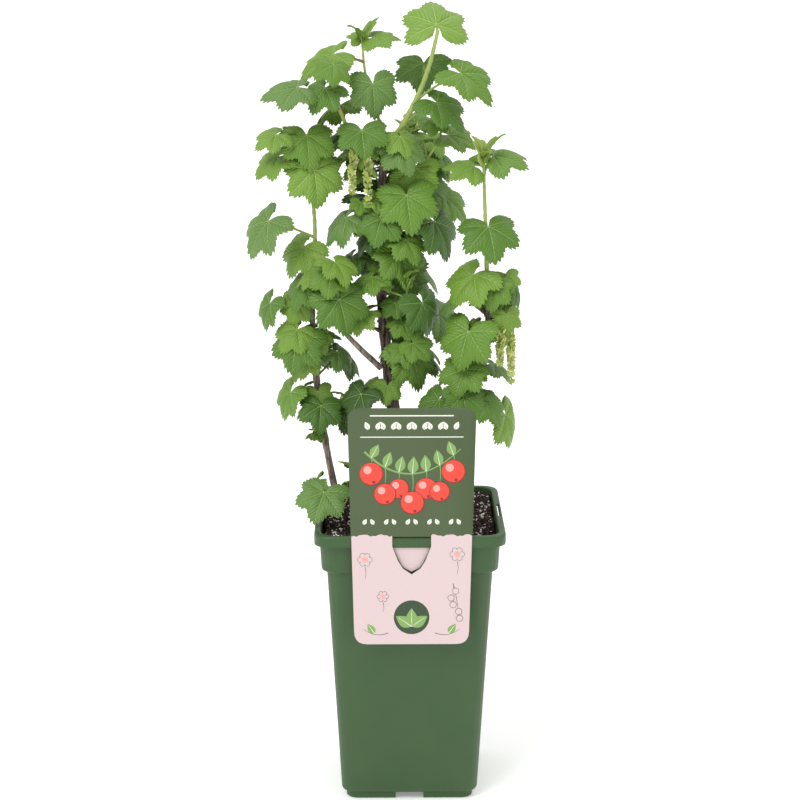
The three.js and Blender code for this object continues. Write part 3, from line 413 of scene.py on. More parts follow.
# name, limb, share along it, lean, bow, thickness, first bearing, leaves, stalk, blade, droop,
# seed, fan, flower strings
MASSES = [
    ("top_right_shoot", "main_stem", 0.985, (33, -9, 82), (5, 0, 0), 2.2, 97, 4, 30, 26, 30, 1, True),
    ("top_middle_shoot", "main_stem", 1, (-17, 8, 66), (-4, 2, 0), 1.4, 190, 4, 20, 22, 35, 2, True),
    ("top_left_shoot", "main_stem", 0.9, (-33, -6, 70), (-4, 0, 0), 1.8, 186, 5, 26, 24, 38, 3),
    ("top_side_shoot", "main_stem", 0.82, (41, 10, 52), (2, 0, -2), 1.3, 10, 4, 22, 22, 25, 4),
    ("left_tip_shoot", "left_cane", 1, (-4, -4, 104), (5, 0, 0), 1.8, 188, 6, 28, 24, 40, 5, True),
    ("right_tip_shoot", "right_cane", 1, (-4, -4, 98), (0, 0, 0), 1.9, 285, 4, 26, 25, 35, 6, True),
    ("back_tip_shoot", "back_branch", 1, (6, 8, 84), (3, 0, 0), 1.6, 90, 9, 28, 25, 42, 7, True),
    ("branch_tip_shoot", "left_branch", 1, (2, -6, 24), (0, 0, 0), 1.4, 300, 7, 20, 25, 45, 8),
    ("water_shoot", "main_stem", 0.5, (12, -8, 34), (4, -2, -3), 1.1, 300, 5, 13, 15, 25, 9, True),
    ("basal_shoot", "left_cane", 0.02, (5, -8, 16), (2, -2, 0), 1.1, 228, 5, 25, 21, 62, 10),
    ("left_bud", "left_cane", 0.33, (-6, -3, 5), (0, 0, 0), 1.1, 150, 3, 5, 7, 20, 11),
    ("left_low_inner_spur", "left_cane", 0.42, (10, -7, 8), (0, 0, 0), 1.5, 5, 6, 20, 23, 40, 12),
    ("left_low_outer_spur", "left_cane", 0.53, (-7, -6, 6), (0, 0, 0), 1.5, 245, 1, 15, 24, 50, 13),
    ("left_middle_outer_spur", "left_cane", 0.76, (-6, -8, 6), (0, 0, 0), 1.5, 255, 6, 16, 25, 50, 14),
    ("left_middle_inner_spur", "left_cane", 0.68, (8, -2, 6), (0, 0, 0), 1.4, 345, 4, 14, 21, 50, 15),
    ("left_high_outer_spur", "left_cane", 0.9, (-8, 4, 6), (0, 0, 0), 1.5, 190, 1, 24, 21, 60, 16),
    ("left_high_inner_spur", "left_cane", 0.96, (7, -8, 7), (0, 0, 0), 1.4, 310, 6, 20, 24, 45, 17),
    ("left_back_spur", "left_cane", 0.6, (-1, 9, 6), (0, 0, 0), 1.4, 110, 2, 24, 24, 50, 18),
    ("main_label_spur", "main_stem", 0.33, (-8, -8, 5), (0, 0, 0), 1.5, 215, 1, 20, 22, 40, 19),
    ("main_low_right_spur", "main_stem", 0.42, (8, -9, 6), (0, 0, 0), 1.6, 315, 6, 20, 27, 50, 20),
    ("main_low_back_spur", "main_stem", 0.38, (9, 5, 6), (0, 0, 0), 1.6, 20, 7, 28, 24, 48, 21),
    ("main_left_spur", "main_stem", 0.5, (-8, -7, 6), (0, 0, 0), 1.5, 215, 3, 20, 26, 50, 22),
    ("main_middle_front_spur", "main_stem", 0.6, (1, -8, 6), (0, 0, 0), 1.4, 235, 2, 16, 22, 45, 23),
    ("main_middle_back_spur", "main_stem", 0.62, (-5, 9, 6), (0, 0, 0), 1.5, 120, 7, 26, 25, 48, 24),
    ("main_right_spur", "main_stem", 0.69, (9, -5, 6), (0, 0, 0), 1.5, 340, 7, 22, 24, 45, 25),
    ("main_upper_front_spur", "main_stem", 0.76, (3, -8, 6), (0, 0, 0), 1.3, 280, 6, 15, 20, 40, 26),
    ("main_upper_left_spur", "main_stem", 0.8, (-8, -3, 4), (0, 0, 0), 1.4, 190, 2, 25, 25, 45, 27),
    ("main_upper_right_spur", "main_stem", 0.785, (9, 3, 8), (0, 0, 0), 1.7, 325, 6, 32, 29, 45, 28),
    ("main_upper_back_spur", "main_stem", 0.84, (1, 9, 7), (0, 0, 0), 1.5, 80, 7, 26, 24, 42, 29),
    ("main_flower_spur", "main_stem", 0.955, (-16, -9, 3), (0, 0, 0), 1.4, 180, 3, 17, 22, 40, 30, False, 2),
    ("main_high_left_spur", "main_stem", 0.93, (-10, 1, 7), (0, 0, 0), 1.5, 195, 4, 28, 25, 40, 31),
    ("main_high_front_spur", "main_stem", 0.95, (6, -8, 6), (0, 0, 0), 1.4, 300, 6, 17, 23, 35, 32),
    ("right_low_front_spur", "right_cane", 0.5, (-3, -8, 6), (0, 0, 0), 1.4, 215, 6, 20, 21, 42, 33),
    ("right_low_outer_spur", "right_cane", 0.42, (9, 1, 5), (0, 0, 0), 1.4, 355, 3, 27, 22, 50, 34),
    ("right_low_back_spur", "right_cane", 0.6, (-1, 9, 5), (0, 0, 0), 1.4, 100, 7, 24, 23, 50, 35),
    ("right_flower_spur", "right_cane", 0.84, (9, -5, 2), (0, 0, 0), 1.3, 290, 4, 13, 17, 40, 36, False, 3),
    ("right_middle_front_spur", "right_cane", 0.81, (-6, -8, 6), (0, 0, 0), 1.5, 245, 6, 16, 28, 50, 37),
    ("right_middle_outer_spur", "right_cane", 0.905, (8, -3, 6), (0, 0, 0), 1.4, 330, 1, 14, 21, 45, 38),
    ("right_high_inner_spur", "right_cane", 0.93, (-9, -2, 7), (0, 0, 0), 1.5, 195, 2, 24, 24, 45, 39),
    ("right_high_outer_spur", "right_cane", 0.97, (9, 3, 6), (0, 0, 0), 1.4, 345, 6, 22, 20, 60, 40),
    ("right_high_back_spur", "right_cane", 0.9, (0, 9, 6), (0, 0, 0), 1.4, 75, 5, 24, 23, 45, 41),
    ("back_low_spur", "back_branch", 0.45, (8, 5, 5), (0, 0, 0), 1.4, 60, 7, 25, 24, 50, 42),
    ("back_high_spur", "back_branch", 0.8, (-8, 4, 6), (0, 0, 0), 1.4, 140, 7, 25, 24, 48, 43),
]
# bearing, share up the stem, rise of the stalk, stalk, midrib, droop
LEADS = {
    "top_right_shoot": [
        (97, 0.98, 60, 7, 31, -34), (342, 0.37, 40, 40, 30, 22),
        (95, 0.6, 35, 17, 28, 50), (340, 0.15, 43, 32, 27, 24),
    ],
    "top_middle_shoot": [
        (184, 0.8, 18, 23, 30, 25), (285, 0.5, 30, 13, 24, 58),
        (355, 0.98, 45, 10, 20, -8), (120, 0.98, 80, 5, 12, -30),
    ],
    "top_left_shoot": [
        (197, 0.7, 36, 36, 27, 0),
    ],
    "left_tip_shoot": [
        (192, 0.38, 27, 37, 29, 44), (295, 0.88, 0, 12, 26, 58),
        (190, 0.9, 22, 22, 22, 25), (280, 0.97, 75, 18, 24, 35),
        (205, 0.98, 42, 27, 18, 12), (205, 0.33, -5, 9, 24, 40),
    ],
    "right_tip_shoot": [
        (285, 0.46, 60, 9, 26, 25), (205, 0.12, 28, 12, 27, 35),
        (30, 0.9, 75, 16, 27, -5), (170, 0.85, 70, 14, 22, -5),
    ],
    "right_low_outer_spur": [
        (352, 0.9, 14, 26, 26, 70),
    ],
    "basal_shoot": [
        (247, 0.75, 22, 46, 24, 25), (330, 0.8, 50, 12, 16, 20),
    ],
    "left_low_inner_spur": [
        (345, 0.3, 30, 14, 20, 40),
    ],
    "left_low_outer_spur": [
        (190, 0.3, 10, 16, 22, 60),
    ],
    "left_middle_outer_spur": [
        (240, 0.4, 30, 14, 26, 50),
    ],
    "left_high_outer_spur": [
        (188, 0.6, 12, 24, 21, 62),
    ],
    "main_label_spur": [
        (210, 0.4, 5, 18, 22, 45),
    ],
    "main_low_right_spur": [
        (315, 0.4, 30, 16, 27, 50),
    ],
    "main_high_left_spur": [
        (145, 0.95, 10, 16, 22, 50),
    ],
    "main_high_front_spur": [
        (300, 0.5, 40, 14, 23, 35),
    ],
    "right_low_front_spur": [
        (205, 0.4, 30, 20, 21, 42),
    ],
    "right_middle_front_spur": [
        (230, 0.4, 30, 18, 28, 50),
    ],
    "right_middle_outer_spur": [
        (285, 0.9, -10, 8, 15, 50),
    ],
    "right_high_outer_spur": [
        (2, 0.8, 40, 11, 17, 62),
    ],
    "main_upper_left_spur": [
        (185, 0.15, -5, 20, 25, 35),
    ],
    "main_upper_right_spur": [
        (345, 0.8, -15, 30, 29, 50),
    ],
    "main_middle_front_spur": [
        (340, 0.8, -20, 32, 25, 65),
    ],
    "top_side_shoot": [
        (352, 0.98, 10, 6, 22, 8), (260, 0.5, 40, 10, 22, 45),
    ],
    "main_right_spur": [
        (320, 0.7, 30, 5, 26, 50),
    ],
}
GAP = 0.3


class Bend:
    """A limb's or stem's middle line: foot + lean t + bow sin(pi t) + ess sin(2 pi t)."""

    def __init__(self, foot, lean, bow, ess=(0, 0, 0)):
        self.foot, self.lean, self.bow, self.ess = map(Vector, (foot, lean, bow, ess))

    def point(self, t):
        return (self.foot + self.lean * t + self.bow * math.sin(math.pi * t)
                + self.ess * math.sin(2 * math.pi * t))

    def way(self, t):
        return (self.point(min(1, t + 1e-4)) - self.point(max(0, t - 1e-4))).normalized()


def seat(limb, at, lean, thick):
    """The foot of a stem that leaves a limb at a share of its length, just clear of its skin."""
    spec = LIMBS[limb]
    way = Vector(lean).normalized()
    if at == 1:
        straight = way.dot(bends[limb].way(1))
        return bends[limb].point(1) + way * ((1.3 * GAP + thick * math.sqrt(1 - straight ** 2)) / straight)
    flat = Vector((way.x, way.y, 0)).normalized()
    radius = spec["thick"][0] + (spec["thick"][1] - spec["thick"][0]) * at
    across = math.sqrt(1 - flat.dot(bends[limb].way(at)) ** 2)
    return bends[limb].point(at) + flat * ((radius + 1.5 * GAP + thick * way.z) / across)


def tube(bend, radius_at, sides, steps):
    """A grid rolled up along a bend, and closed at both ends."""
    bm = bmesh.new()
    bmesh.ops.create_grid(bm, x_segments=sides, y_segments=steps, size=0.5)
    rings = {}
    for vertex in bm.verts:
        t = min(1, max(0, vertex.co.y + 0.5))
        key = round(t * steps)
        if key not in rings:
            way = bend.way(t)
            across = (Vector((1, 0.2, 0)) - way * way.x).normalized()
            rings[key] = (bend.point(t), across, way.cross(across))
        middle, across, other = rings[key]
        angle = 2 * math.pi * (vertex.co.x + 0.5)
        radius = radius_at(t, angle)
        vertex.co = (middle + (across * math.cos(angle) + other * math.sin(angle)) * radius) * MM
    bmesh.ops.remove_doubles(bm, verts=bm.verts, dist=1e-6)
    bmesh.ops.holes_fill(bm, edges=bm.edges, sides=sides)
    bmesh.ops.recalc_face_normals(bm, faces=bm.faces)
    return bm


def bark_material(name, dark, pale):
    made, tree, shader = material(name, dark, 0.85, specular=0.25)
    stretch = add_node(tree, "ShaderNodeMapping", {"Scale": (1, 1, 0.18)})
    place = add_node(tree, "ShaderNodeTexCoord", {})
    tree.links.new(place.outputs["Object"], stretch.inputs["Vector"])
    fibre = add_node(tree, "ShaderNodeTexNoise", {
        "Vector": stretch.outputs["Vector"], "Scale": 0.5 / MM, "Detail": 8.0, "Roughness": 0.65})
    spotted(tree, shader, fibre, (dark, pale), 0.38, 0.64)
    bumped(tree, shader, fibre.outputs[0], 0.7)
    return made


# Old bark is dark and split, and a two-year cane is greyer, both with pale lengthwise fibres.
# Real fibres are finer, and are drawn 2 mm wide and 11 mm long, so that they show.
old_bark = bark_material("currant bark, old and split", "#241916", "#86766c")
cane_bark = bark_material("currant bark, two-year cane", "#5b4c44", "#b3a59b")
bends = {}
for name, spec in LIMBS.items():
    foot = spec["foot"] if "foot" in spec else seat(spec["on"], spec["at"], spec["lean"], spec["thick"][0])
    bends[name] = Bend(foot, spec["lean"], spec["bow"], spec.get("ess", (0, 0, 0)))
    length = Vector(spec["lean"]).length
    knots = [mass[2] for mass in MASSES if mass[1] == name]
    knots += [other["at"] for other in LIMBS.values() if other.get("on") == name]

    def radius_at(t, angle):
        thick = spec["thick"][0] + (spec["thick"][1] - spec["thick"][0]) * t
        flare = spec["flare"] * math.exp(-t * spec["lean"][2] / 9)
        swell = sum(math.exp(-((t - k) * length / 4.5) ** 2) for k in knots)
        spot = Vector((math.cos(angle), math.sin(angle), t * length / 9))
        ridge = 0.10 * noise.noise(spot * 2.2) + 0.06 * noise.noise(spot * 6)
        return thick * (1 + flare + ridge) + 0.55 * min(1, swell)

    limb = tube(bends[name], radius_at, 24, max(12, int(length / 1.6)))
    skin = old_bark if name == "main_stem" else cane_bark
    limb = finish(piece_from(limb, name + "_bark", skin), "bark", name)
    limb.data.shade_smooth()

# Foliage: shoots and spurs with their stalked, lobed and toothed leaves, grown by the frame's rule.
# The blades are thin sheets, pleated along five main veins. Small leaves and folded new ones fill
# in between the frame's own.
SPIRAL = 137.5       # degrees from one leaf to the next round its stem
TAPER = 0.3          # share that a mass's topmost leaf is smaller by
FACING = 0.36        # how far the blades turn to the lit front
SPARE = 9            # leaves tried for each one wanted
CREASE, ARCH = 0.12, 0.24    # how far a blade of length 1 rises beside its midrib and sinks to its rim
OUTLINE = [(0, 1), (17, 0.9), (30, 0.75), (51, 0.9), (80, 0.69), (108, 0.75), (146, 0.45)]
UP = Vector((0, 0, 1))


def dice(seed):
    """Rolls from 0 to 1, in the same order each time for one seed."""
    state = (seed * 7919 + 104729) % 2147483647

    def roll():
        nonlocal state
        state = state * 16807 % 2147483647
        return state / 2147483647
    roll()
    roll()
    return roll


class Mass:
    """One shoot or spur: its stem, and what its leaves have in common."""

    def __init__(self, name, on, at, lean, bow, thick, first, leaves, stalk, blade, droop, seed,
                 fan=False, strigs=0):
        self.name, self.on, self.thick, self.first = name, on, thick, first
        self.leaves, self.stalk, self.blade, self.droop = leaves, stalk, blade, droop
        self.seed, self.fan, self.strigs = seed, fan, strigs
        self.bend = Bend(seat(on, at, lean, thick), lean, bow)


class Plan:
    """Where leaf number i of a mass sits, and how it is turned."""

    def __init__(self, mass, i, share=1.0, given=None):
        roll = dice(mass.seed * 100 + i)

        def spread(size):
            return size * (roll() - 0.5)
        turn = mass.first + SPIRAL * i + spread(24)
        in_turn = 0.12 + 0.86 * (i % mass.leaves) / max(1, mass.leaves - 1)
        smaller = 1 - TAPER * in_turn ** 2
        leaf = [turn, in_turn, 34 + 30 * in_turn + spread(24),
                mass.stalk * smaller * (1 + spread(0.4)), mass.blade * smaller * (1 + spread(0.3)),
                (mass.droop - 8) * (1 - 0.4 * in_turn ** 2) + spread(26)]
        twist = spread(0.7)
        bank = spread(0.7)
        if mass.fan and in_turn > 0.9:
            leaf[2], leaf[5] = 80, -30 * math.sin(math.radians(turn))
        if given or i < len(LEADS.get(mass.name, ())):
            leaf, twist, bank = given or LEADS[mass.name][i], 0, 0
        self.height, self.size, stalk = leaf[1], leaf[4] * share, leaf[3] * share
        bearing, lift, sag = (math.radians(leaf[k]) for k in (0, 2, 5))
        out = Vector((math.cos(bearing), math.sin(bearing), 0))
        self.root = mass.bend.point(self.height)
        self.arch = self.root + (out * math.cos(lift) + UP * math.sin(lift)) * 0.55 * stalk
        self.join = self.root + (out * math.cos(0.8 * lift) + UP * math.sin(0.8 * lift)) * stalk
        heading = Quaternion(UP, twist) @ out
        normal = heading * math.sin(sag) + UP * math.cos(sag)
        midrib = heading * math.cos(sag) - UP * math.sin(sag)
        normal.y -= FACING * (1 - 0.5 * math.sin(bearing))
        normal.normalize()
        midrib = (midrib - normal * midrib.dot(normal)).normalized()
        normal = Quaternion(midrib, bank) @ normal
        self.axes = np.array([midrib, midrib.cross(normal), normal])

    def place(self, shape):
        return np.array(self.join) + self.size * (shape @ self.axes)

    def tip(self):
        return self.place(np.array([1, 0, -ARCH]))

    def tree(self):
        rim = [(-a, r) for a, r in OUTLINE[:0:-1]] + OUTLINE
        flat = [(0, 0, 0)] + [(r * math.cos(math.radians(a)), r * math.sin(math.radians(a)),
                               CREASE * abs(r * math.sin(math.radians(a))) - ARCH * r * r) for a, r in rim]
        return BVHTree.FromPolygons([Vector(p) for p in self.place(np.array(flat))],
                                    [(0, k, k + 1) for k in range(1, len(rim))])


VEINS = np.array([-106, -51, 0, 51, 106])
RINGS = np.array([0.06, 0.2, 0.36, 0.52, 0.68, 0.82, 0.93, 1.0])
TOOTH = 7.6          # degrees from one tooth to the next
OPEN = 158           # bearing at which the rim turns back to the stalk
VEIN_HALF = 0.011    # half a main vein's width at the stalk, of a blade of length 1
PLEAT = 0.22         # how far the blade rises between two main veins
# bearing from the midrib and reach, of a tip and a notch by turns
LOBES = np.array([(0, 1), (27, 0.73), (51, 0.93), (80, 0.65), (106, 0.81), (160, 0.26)])


def reach(angle):
    """How far the rim is from the stalk: round lobes that meet in sharp notches."""
    angle = np.abs(angle)
    k = np.clip(np.searchsorted(LOBES[:, 0], angle, side="right") - 1, 0, len(LOBES) - 2)
    t = np.clip((angle - LOBES[k, 0]) / (LOBES[k + 1, 0] - LOBES[k, 0]), 0, 1)
    tip, notch = np.where(k % 2, k + 1, k), np.where(k % 2, k, k + 1)
    t = np.where(k % 2, 1 - t, t)
    return LOBES[notch, 1] + (LOBES[tip, 1] - LOBES[notch, 1]) * (1 - t ** 1.7)


def blade_shape(seed):
    """A leaf of length 1: five main veins with pleated skin between them, in rings round the stalk."""
    rng = np.random.default_rng(seed)
    bounds = [-OPEN, *VEINS, OPEN]
    columns = []
    for k, (low, high) in enumerate(zip(bounds, bounds[1:])):
        last = 3 * max(3, round((high - low) / TOOTH))
        for j in range(last + 1):
            bite = (0.75, 0.3, -0.65)[min(j, last - j) % 3]
            columns.append((low, high, j / last, k, bite * rng.uniform(0.6, 1.3)))
    low, high, share, gap, bite = np.array(columns).T
    ring = RINGS[:, None]
    vein_left, vein_right = gap > 0, gap < len(VEINS)
    middle = low + (high - low) * share
    wide = VEIN_HALF * (1 - 0.8 * ring)
    open_angle = np.minimum(np.degrees(wide / np.maximum(reach(middle) * ring, 0.01)), 8)
    start = low + open_angle * vein_left
    angle = start + (high - open_angle * vein_right - start) * share
    distance = reach(angle) * ring * (1 + 0.052 * bite * (ring > 0.99) + 0.012 * bite * (ring > 0.9))
    radian = np.radians(angle)
    along, aside = distance * np.cos(radian), distance * np.sin(radian)
    pleat = 4 * share * (1 - share) * np.where((gap == 0) | (gap == len(VEINS)), 0.6, 1)
    turns = rng.uniform(0, 6, 3)
    ripple = (0.035 * np.sin(3 * radian + turns[0]) + 0.02 * np.sin(7 * radian + turns[1])
              + 0.012 * np.sin(13 * radian + turns[2]))
    height = (CREASE * (np.hypot(aside, 0.06) - 0.06) - ARCH * distance ** 2
              + PLEAT * pleat * distance * (1.1 - distance) + ripple * ring ** 3 - 0.07 * ring ** 6)
    shape = np.stack([along, aside, height], axis=-1).reshape(-1, 3)
    off = np.radians(np.minimum(angle - low, high - angle))
    across, lengthwise = distance * np.sin(off), distance * np.cos(off)
    uv = np.stack([lengthwise - 1.4 * across, across], axis=-1).reshape(-1, 2)
    n = len(columns)
    faces, which = [], []
    for r in range(len(RINGS) - 1):
        for c in range(n - 1):
            a, b = r * n + c, r * n + c + 1
            vein = gap[c] != gap[c + 1] and r < len(RINGS) - 2
            faces += [(a, a + n, b + n), (a, b + n, b)]
            which += [vein, vein]
    centre = len(shape)
    shape = np.vstack([shape, (0, 0, 0.0)])
    uv = np.vstack([uv, (0, 0)])
    faces += [(centre, c, c + 1) for c in range(n - 1)]
    which += [True] * (n - 1)
    return shape, np.array(faces), np.array(which), uv


def rod_shape(path, radii, sides=6):
    """A thin rod through the points of a path, open at its root and closed at its tip."""
    path = [Vector(p) for p in path]
    rings = []
    for k, (point, radius) in enumerate(zip(path, radii)):
        way = (path[min(k + 1, len(path) - 1)] - path[max(k - 1, 0)]).normalized()
        across = way.orthogonal() if k == 0 else (across - way * across.dot(way))
        across.normalize()
        other = way.cross(across)
        turns = [2 * math.pi * s / sides for s in range(sides)]
        rings += [point + (across * math.cos(a) + other * math.sin(a)) * radius for a in turns]
    faces = []
    for k in range(len(path) - 1):
        for s in range(sides):
            a, b = k * sides + s, k * sides + (s + 1) % sides
            faces += [(a, b, b + sides), (a, b + sides, a + sides)]
    last = len(rings) - sides
    faces += [(last, last + s, last + s + 1) for s in range(1, sides - 1)]
    return np.array(rings), np.array(faces)


def toned(colour, share):
    """The same colour, darker or lighter."""
    return "#" + "".join("%02x" % min(255, round(share * int(colour[k:k + 2], 16))) for k in (1, 3, 5))


# Leaf skin has a soft sheen. Side veins run off each main vein as low ribs, a little lighter and
# 3 to 4 mm apart on a full leaf, with wrinkles of 2 mm between them.
def leaf_material(name, colour, roughness=0.45):
    made, tree, shader = material(name, colour, roughness, 1.45, 0.45)
    uv = add_node(tree, "ShaderNodeUVMap", {}, uv_map="veins")
    side_veins = add_node(tree, "ShaderNodeTexWave", {
        "Vector": uv.outputs[0], "Scale": 2.4, "Distortion": 2.6, "Detail": 3.0, "Detail Scale": 2.0})
    fine = grain(tree, 0.5, 4.0)
    height = add_node(tree, "ShaderNodeMath", {0: side_veins.outputs[1], 1: fine.outputs[0]},
                      operation="ADD")
    spotted(tree, shader, height, (toned(colour, 0.93), toned(colour, 1.05)), 0.3, 1.2)
    bumped(tree, shader, height.outputs[0], 0.42, 0.6)
    return made


GREENS = ("#5d822a", "#517526", "#446722", "#5f803d", "#72953a", "#8ba24a", "#395720", "#6b8d31")
VEIN_GREENS = ("#89a45c", "#a6b868")
# Greens by number: full-grown on a spur or a shoot, young, and still folded.
SPUR_GREENS, SHOOT_GREENS = (1, 2, 0, 3, 6), (0, 1, 3, 7)
YOUNG_GREENS, FOLDED_GREENS = (7, 4, 0, 7), (4, 5)
YOUNG_FROM = 0.8     # share up its stem from which a leaf is young
leaf_tones = [leaf_material("currant leaf, green %d" % k, tone) for k, tone in enumerate(GREENS)]
leaf_tones += [leaf_material("currant leaf vein %d" % k, tone) for k, tone in enumerate(VEIN_GREENS)]
# Stalks and young shoots are green and half matt, and the wood of a spur is a dull brown.
twig_tones = []
for name, tone in (("stalk, green", "#889c50"), ("stalk, reddish", "#8a7448"),
                   ("young shoot", "#9dae62"), ("spur wood", "#5d4a3e")):
    made, tree, shader = material("currant " + name, tone, 0.55, 1.45, 0.3)
    bumped(tree, shader, grain(tree, 0.8, 4.0).outputs[0], 0.3, 0.6)
    twig_tones.append(made)
SHAPES = [blade_shape(seed) for seed in range(6)]
heaps = {}
masses = [Mass(*row) for row in MASSES]
frame_points = {mass.name: np.array([v.co for v in nodes[mass.name].data.vertices]) / MM
                for mass in masses}


def group_of(mass):
    """The limb and kind whose leaves and twigs are joined into one piece."""
    kind = "shoot" if mass.name.endswith("shoot") or mass.name == "left_bud" else "spur"
    side = {"main_stem": "main", "left_cane": "left", "right_cane": "right"}.get(mass.on, "inner")
    return side, kind


def grow(mass, plan, roll, young, closed=0.0):
    """One leaf: picks its green and its blade, folds and curls it, and draws its stalk."""
    side, kind = group_of(mass)
    leaves = heaps.setdefault((side, kind, "leaves"), Heap())
    twigs = heaps.setdefault((side, kind, "twigs"), Heap())
    tones = SHOOT_GREENS if kind == "shoot" else SPUR_GREENS
    if young:
        tones = FOLDED_GREENS if closed else YOUNG_GREENS
    tone = tones[int(roll() * len(tones))]
    shape, faces, vein, uv = SHAPES[int(roll() * len(SHAPES))]
    shape = shape * (1, (1 - closed) * (0.92 + 0.14 * roll()), 1)
    fold, curl = 0.3 * (roll() - 0.8) + 1.3 * closed, 0.2 * (roll() - 0.6)
    shape[:, 2] += fold * np.hypot(shape[:, 1], 0.05) + curl * shape[:, 0] ** 2
    leaves.add(plan.place(shape), faces, np.where(vein, len(GREENS) + (tone in FOLDED_GREENS), tone), uv)
    end = plan.join - Vector(plan.axes[2]) * 0.35
    path = [plan.root.lerp(plan.arch, t).lerp(plan.arch.lerp(end, t), t) for t in np.linspace(0, 1, 10)]
    thick = 0.45 + 0.33 * plan.size / 25
    radii = [thick * (1.25 - 0.35 * t + 0.5 * max(0, 0.15 - t) / 0.15) for t in np.linspace(0, 1, 10)]
    twigs.add(*rod_shape(path, radii), 1 if roll() < 0.25 else 0)


# First the frame's own leaves. A leaf is one of them when its tip is a corner of the mass's mesh.
SAME = 0.15          # mm from the tip to that corner, at most
all_trees = []
kept = {}
for mass in masses:
    points = frame_points[mass.name]
    kept[mass.name] = []
    for i in range(mass.leaves * SPARE):
        plan = Plan(mass, i)
        if np.abs(points - plan.tip()).max(axis=1).min() < SAME:
            kept[mass.name].append(i)
            all_trees.append(plan.tree())
            grow(mass, plan, dice(mass.seed * 311 + i), plan.height > YOUNG_FROM)

# Then up to two small leaves on each spur, where they touch no other leaf.
SMALL = (0.8, 0.62)  # sizes of the first and the second, as shares of a full leaf
for mass in masses:
    points = frame_points[mass.name]
    low, high = points.min(axis=0) - 5, points.max(axis=0) + 5
    extra = 0
    most = 0 if mass.fan or group_of(mass)[1] == "shoot" else len(SMALL)
    for i in range(mass.leaves * SPARE):
        if i in kept[mass.name] or extra >= most:
            continue
        plan = Plan(mass, i, SMALL[extra])
        own = plan.tree()
        inside = (plan.tip() > low).all() and (plan.tip() < high).all()
        if inside and not any(own.overlap(other) for other in all_trees):
            all_trees.append(own)
            extra += 1
            grow(mass, plan, dice(mass.seed * 311 + i), True)

# Then the folded new leaves at the tips of shoots, and last the stem of each mass.
FOLDED = {"left_tip_shoot": 3, "right_tip_shoot": 3, "top_middle_shoot": 2, "back_tip_shoot": 3,
          "water_shoot": 3, "top_left_shoot": 1, "branch_tip_shoot": 2, "basal_shoot": 1}
for mass in masses:
    roll = dice(mass.seed * 977)
    for i in range(FOLDED.get(mass.name, 0)):
        leaf = (mass.first + 40 + 150 * i + 30 * roll(), 1, 68 + 14 * roll(), 4 + 5 * roll(),
                13 + 5 * roll(), -60)
        grow(mass, Plan(mass, 0, 1.0, leaf), roll, True, 0.6)
for mass in masses:
    side, kind = group_of(mass)
    steps = max(6, int(mass.bend.lean.length / 3))
    shares = np.linspace(0, 1, steps + 1)
    path = [mass.bend.point(t) for t in shares]
    path[0] = path[0] - mass.bend.way(0) * 0.6
    radii = [mass.thick * (1.05 - 0.5 * t) * (1 + 0.12 * math.sin(9 * k)) for k, t in enumerate(shares)]
    heaps[side, kind, "twigs"].add(*rod_shape(path, radii, 10), 2 if kind == "shoot" else 3)
for (side, kind, what), heap in heaps.items():
    tones = leaf_tones if what == "leaves" else twig_tones
    replaced = [mass.name for mass in masses if group_of(mass) == (side, kind)]
    slot = "young_foliage" if kind == "shoot" else "foliage"
    finish(heap.piece("_".join((side, kind, what)), tones), slot, *replaced)

# Flower strings: short hanging strings of small saucer-shaped flowers, green turning yellow.
# They come from the flower spurs, and each flower is a cup of five lobes on its own short stalk.
# Being thin and small they look matt, and paler than the leaves.
blossom = [material("currant flower, " + name, colour, 0.55)[0] for name, colour in (
    ("green", "#b4c268"), ("yellow", "#d0d38e"), ("stalk", "#a3b85a"))]
turns = np.arange(20) * 2 * math.pi / 20
lobes = 1 + 0.28 * np.cos(5 * turns)
rings = [(0.25, 0.55, 0), (0.75, 0.35, 0.3), (1.0, -0.05, 1)]
CUP = [np.stack([r * (1 + m * (lobes - 1)) * np.cos(turns), r * (1 + m * (lobes - 1)) * np.sin(turns),
                 np.full(20, h)], axis=-1) for r, h, m in rings]
CUP = np.vstack(CUP + [[(0, 0, 0.75)]])
CUP_FACES = [(60, k, (k + 1) % 20) for k in range(20)]
for ring in (0, 20):
    for k in range(20):
        a, b = ring + k, ring + (k + 1) % 20
        CUP_FACES += [(a, a + 20, b + 20), (a, b + 20, b)]


def through(corners, steps):
    """Points of a smooth curve that passes through the corners."""
    corners = [2 * corners[0] - corners[1], *corners, 2 * corners[-1] - corners[-2]]
    path = []
    for share in np.linspace(0, len(corners) - 3, steps):
        k = min(int(share), len(corners) - 4)
        a, b, c, d = corners[k:k + 4]
        t = share - k
        path.append(b + (c - a) * t / 2 + (a - 2.5 * b + 2 * c - d / 2) * t ** 2
                    + (1.5 * (b - c) + (d - a) / 2) * t ** 3)
    return path


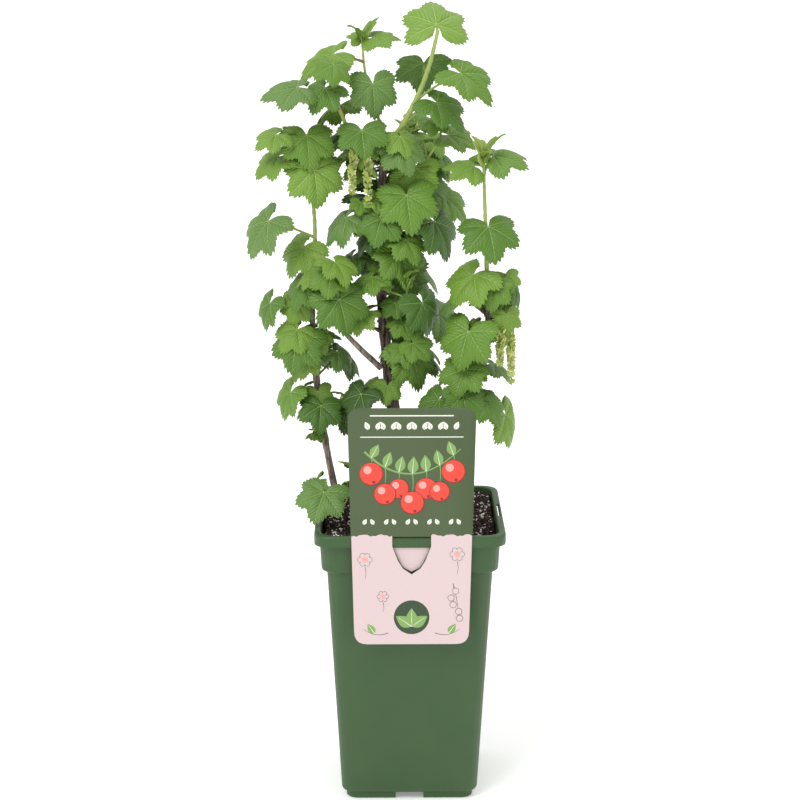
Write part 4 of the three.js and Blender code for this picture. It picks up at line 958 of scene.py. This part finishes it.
flowers = Heap()
for mass in masses:
    for i in range(mass.strigs):
        roll = dice(mass.seed * 100 + 60 + i)
        bearing = math.radians(mass.first + 60 - 50 * i + 30 * roll())
        out = Vector((math.cos(bearing), math.sin(bearing), 0))
        root = mass.bend.point(0.5 + 0.2 * i)
        length = 34 - 8 * i + 6 * roll()
        path = through([root, root + out * 7 + UP * 3, root + out * 10 - UP * 0.35 * length,
                        root + out * 10.5 - UP * length], 16)
        flowers.add(*rod_shape(path, np.linspace(0.6, 0.25, 16)), 2)
        for k in range(4, 16):
            for half in (0, 1):
                turn = 2.4 * (2 * k + half)
                aside = Vector((math.cos(turn), math.sin(turn), -0.35)).normalized()
                middle = path[k] + aside * 2.9 * (1.2 - 0.03 * k)
                flowers.add(*rod_shape([path[k], middle], [0.25, 0.2], 4), 2)
                axes = np.array((-aside).to_track_quat("Z", "Y").to_matrix()).T
                size = 3.6 - 0.1 * k
                flowers.add(np.array(middle) + size * CUP @ axes, CUP_FACES, int(roll() < 0.4))
finish(flowers.piece("flower_strings", blossom), "foliage",
       *[mass.name for mass in masses if mass.strigs])

# Stage: a pale floor, soft studio lamps, and a camera where the photographer stood.
# The floor is matt and glows faintly, so that it looks as white as the photo's ground.
floor_bm = bmesh.new()
bmesh.ops.create_grid(floor_bm, x_segments=1, y_segments=1, size=30)
matt, tree, shader = material("matt pale floor", "#f4f4f2", 0.9)
shader.inputs["Emission Color"].default_value = (1, 1, 1, 1)
shader.inputs["Emission Strength"].default_value = 0.22
floor = piece_from(floor_bm, "studio_floor", matt)
world = bpy.data.worlds.new("studio")
bpy.context.scene.world = world
world.use_nodes = True
world.node_tree.nodes["Background"].inputs["Color"].default_value = (1, 1, 1, 1)
world.node_tree.nodes["Background"].inputs["Strength"].default_value = 0.78
bpy.context.scene.view_settings.view_transform = "Standard"
for name, spot, angle, power in (("key", (-0.8, -1.0, 1.5), 30, 1.5), ("top", (0.5, 0.4, 1.6), 50, 0.7)):
    lamp = bpy.data.lights.new(name, "SUN")
    lamp.angle = math.radians(angle)
    lamp.energy = power
    lit = bpy.data.objects.new(name, lamp)
    lit.location = spot
    lit.rotation_euler = (-Vector(spot)).to_track_quat("-Z", "Y").to_euler()
    bpy.context.collection.objects.link(lit)
view = bpy.data.cameras.new("photograph")
view.lens = 99.2
view.sensor_width = 36
view.clip_end = 100
camera = bpy.data.objects.new("photograph", view)
camera.location = (-0.0225, -1.5999, 0.6786)
camera.rotation_euler = (math.radians(90 - 13.375), 0, math.radians(-0.563))
bpy.context.collection.objects.link(camera)
bpy.context.scene.camera = camera
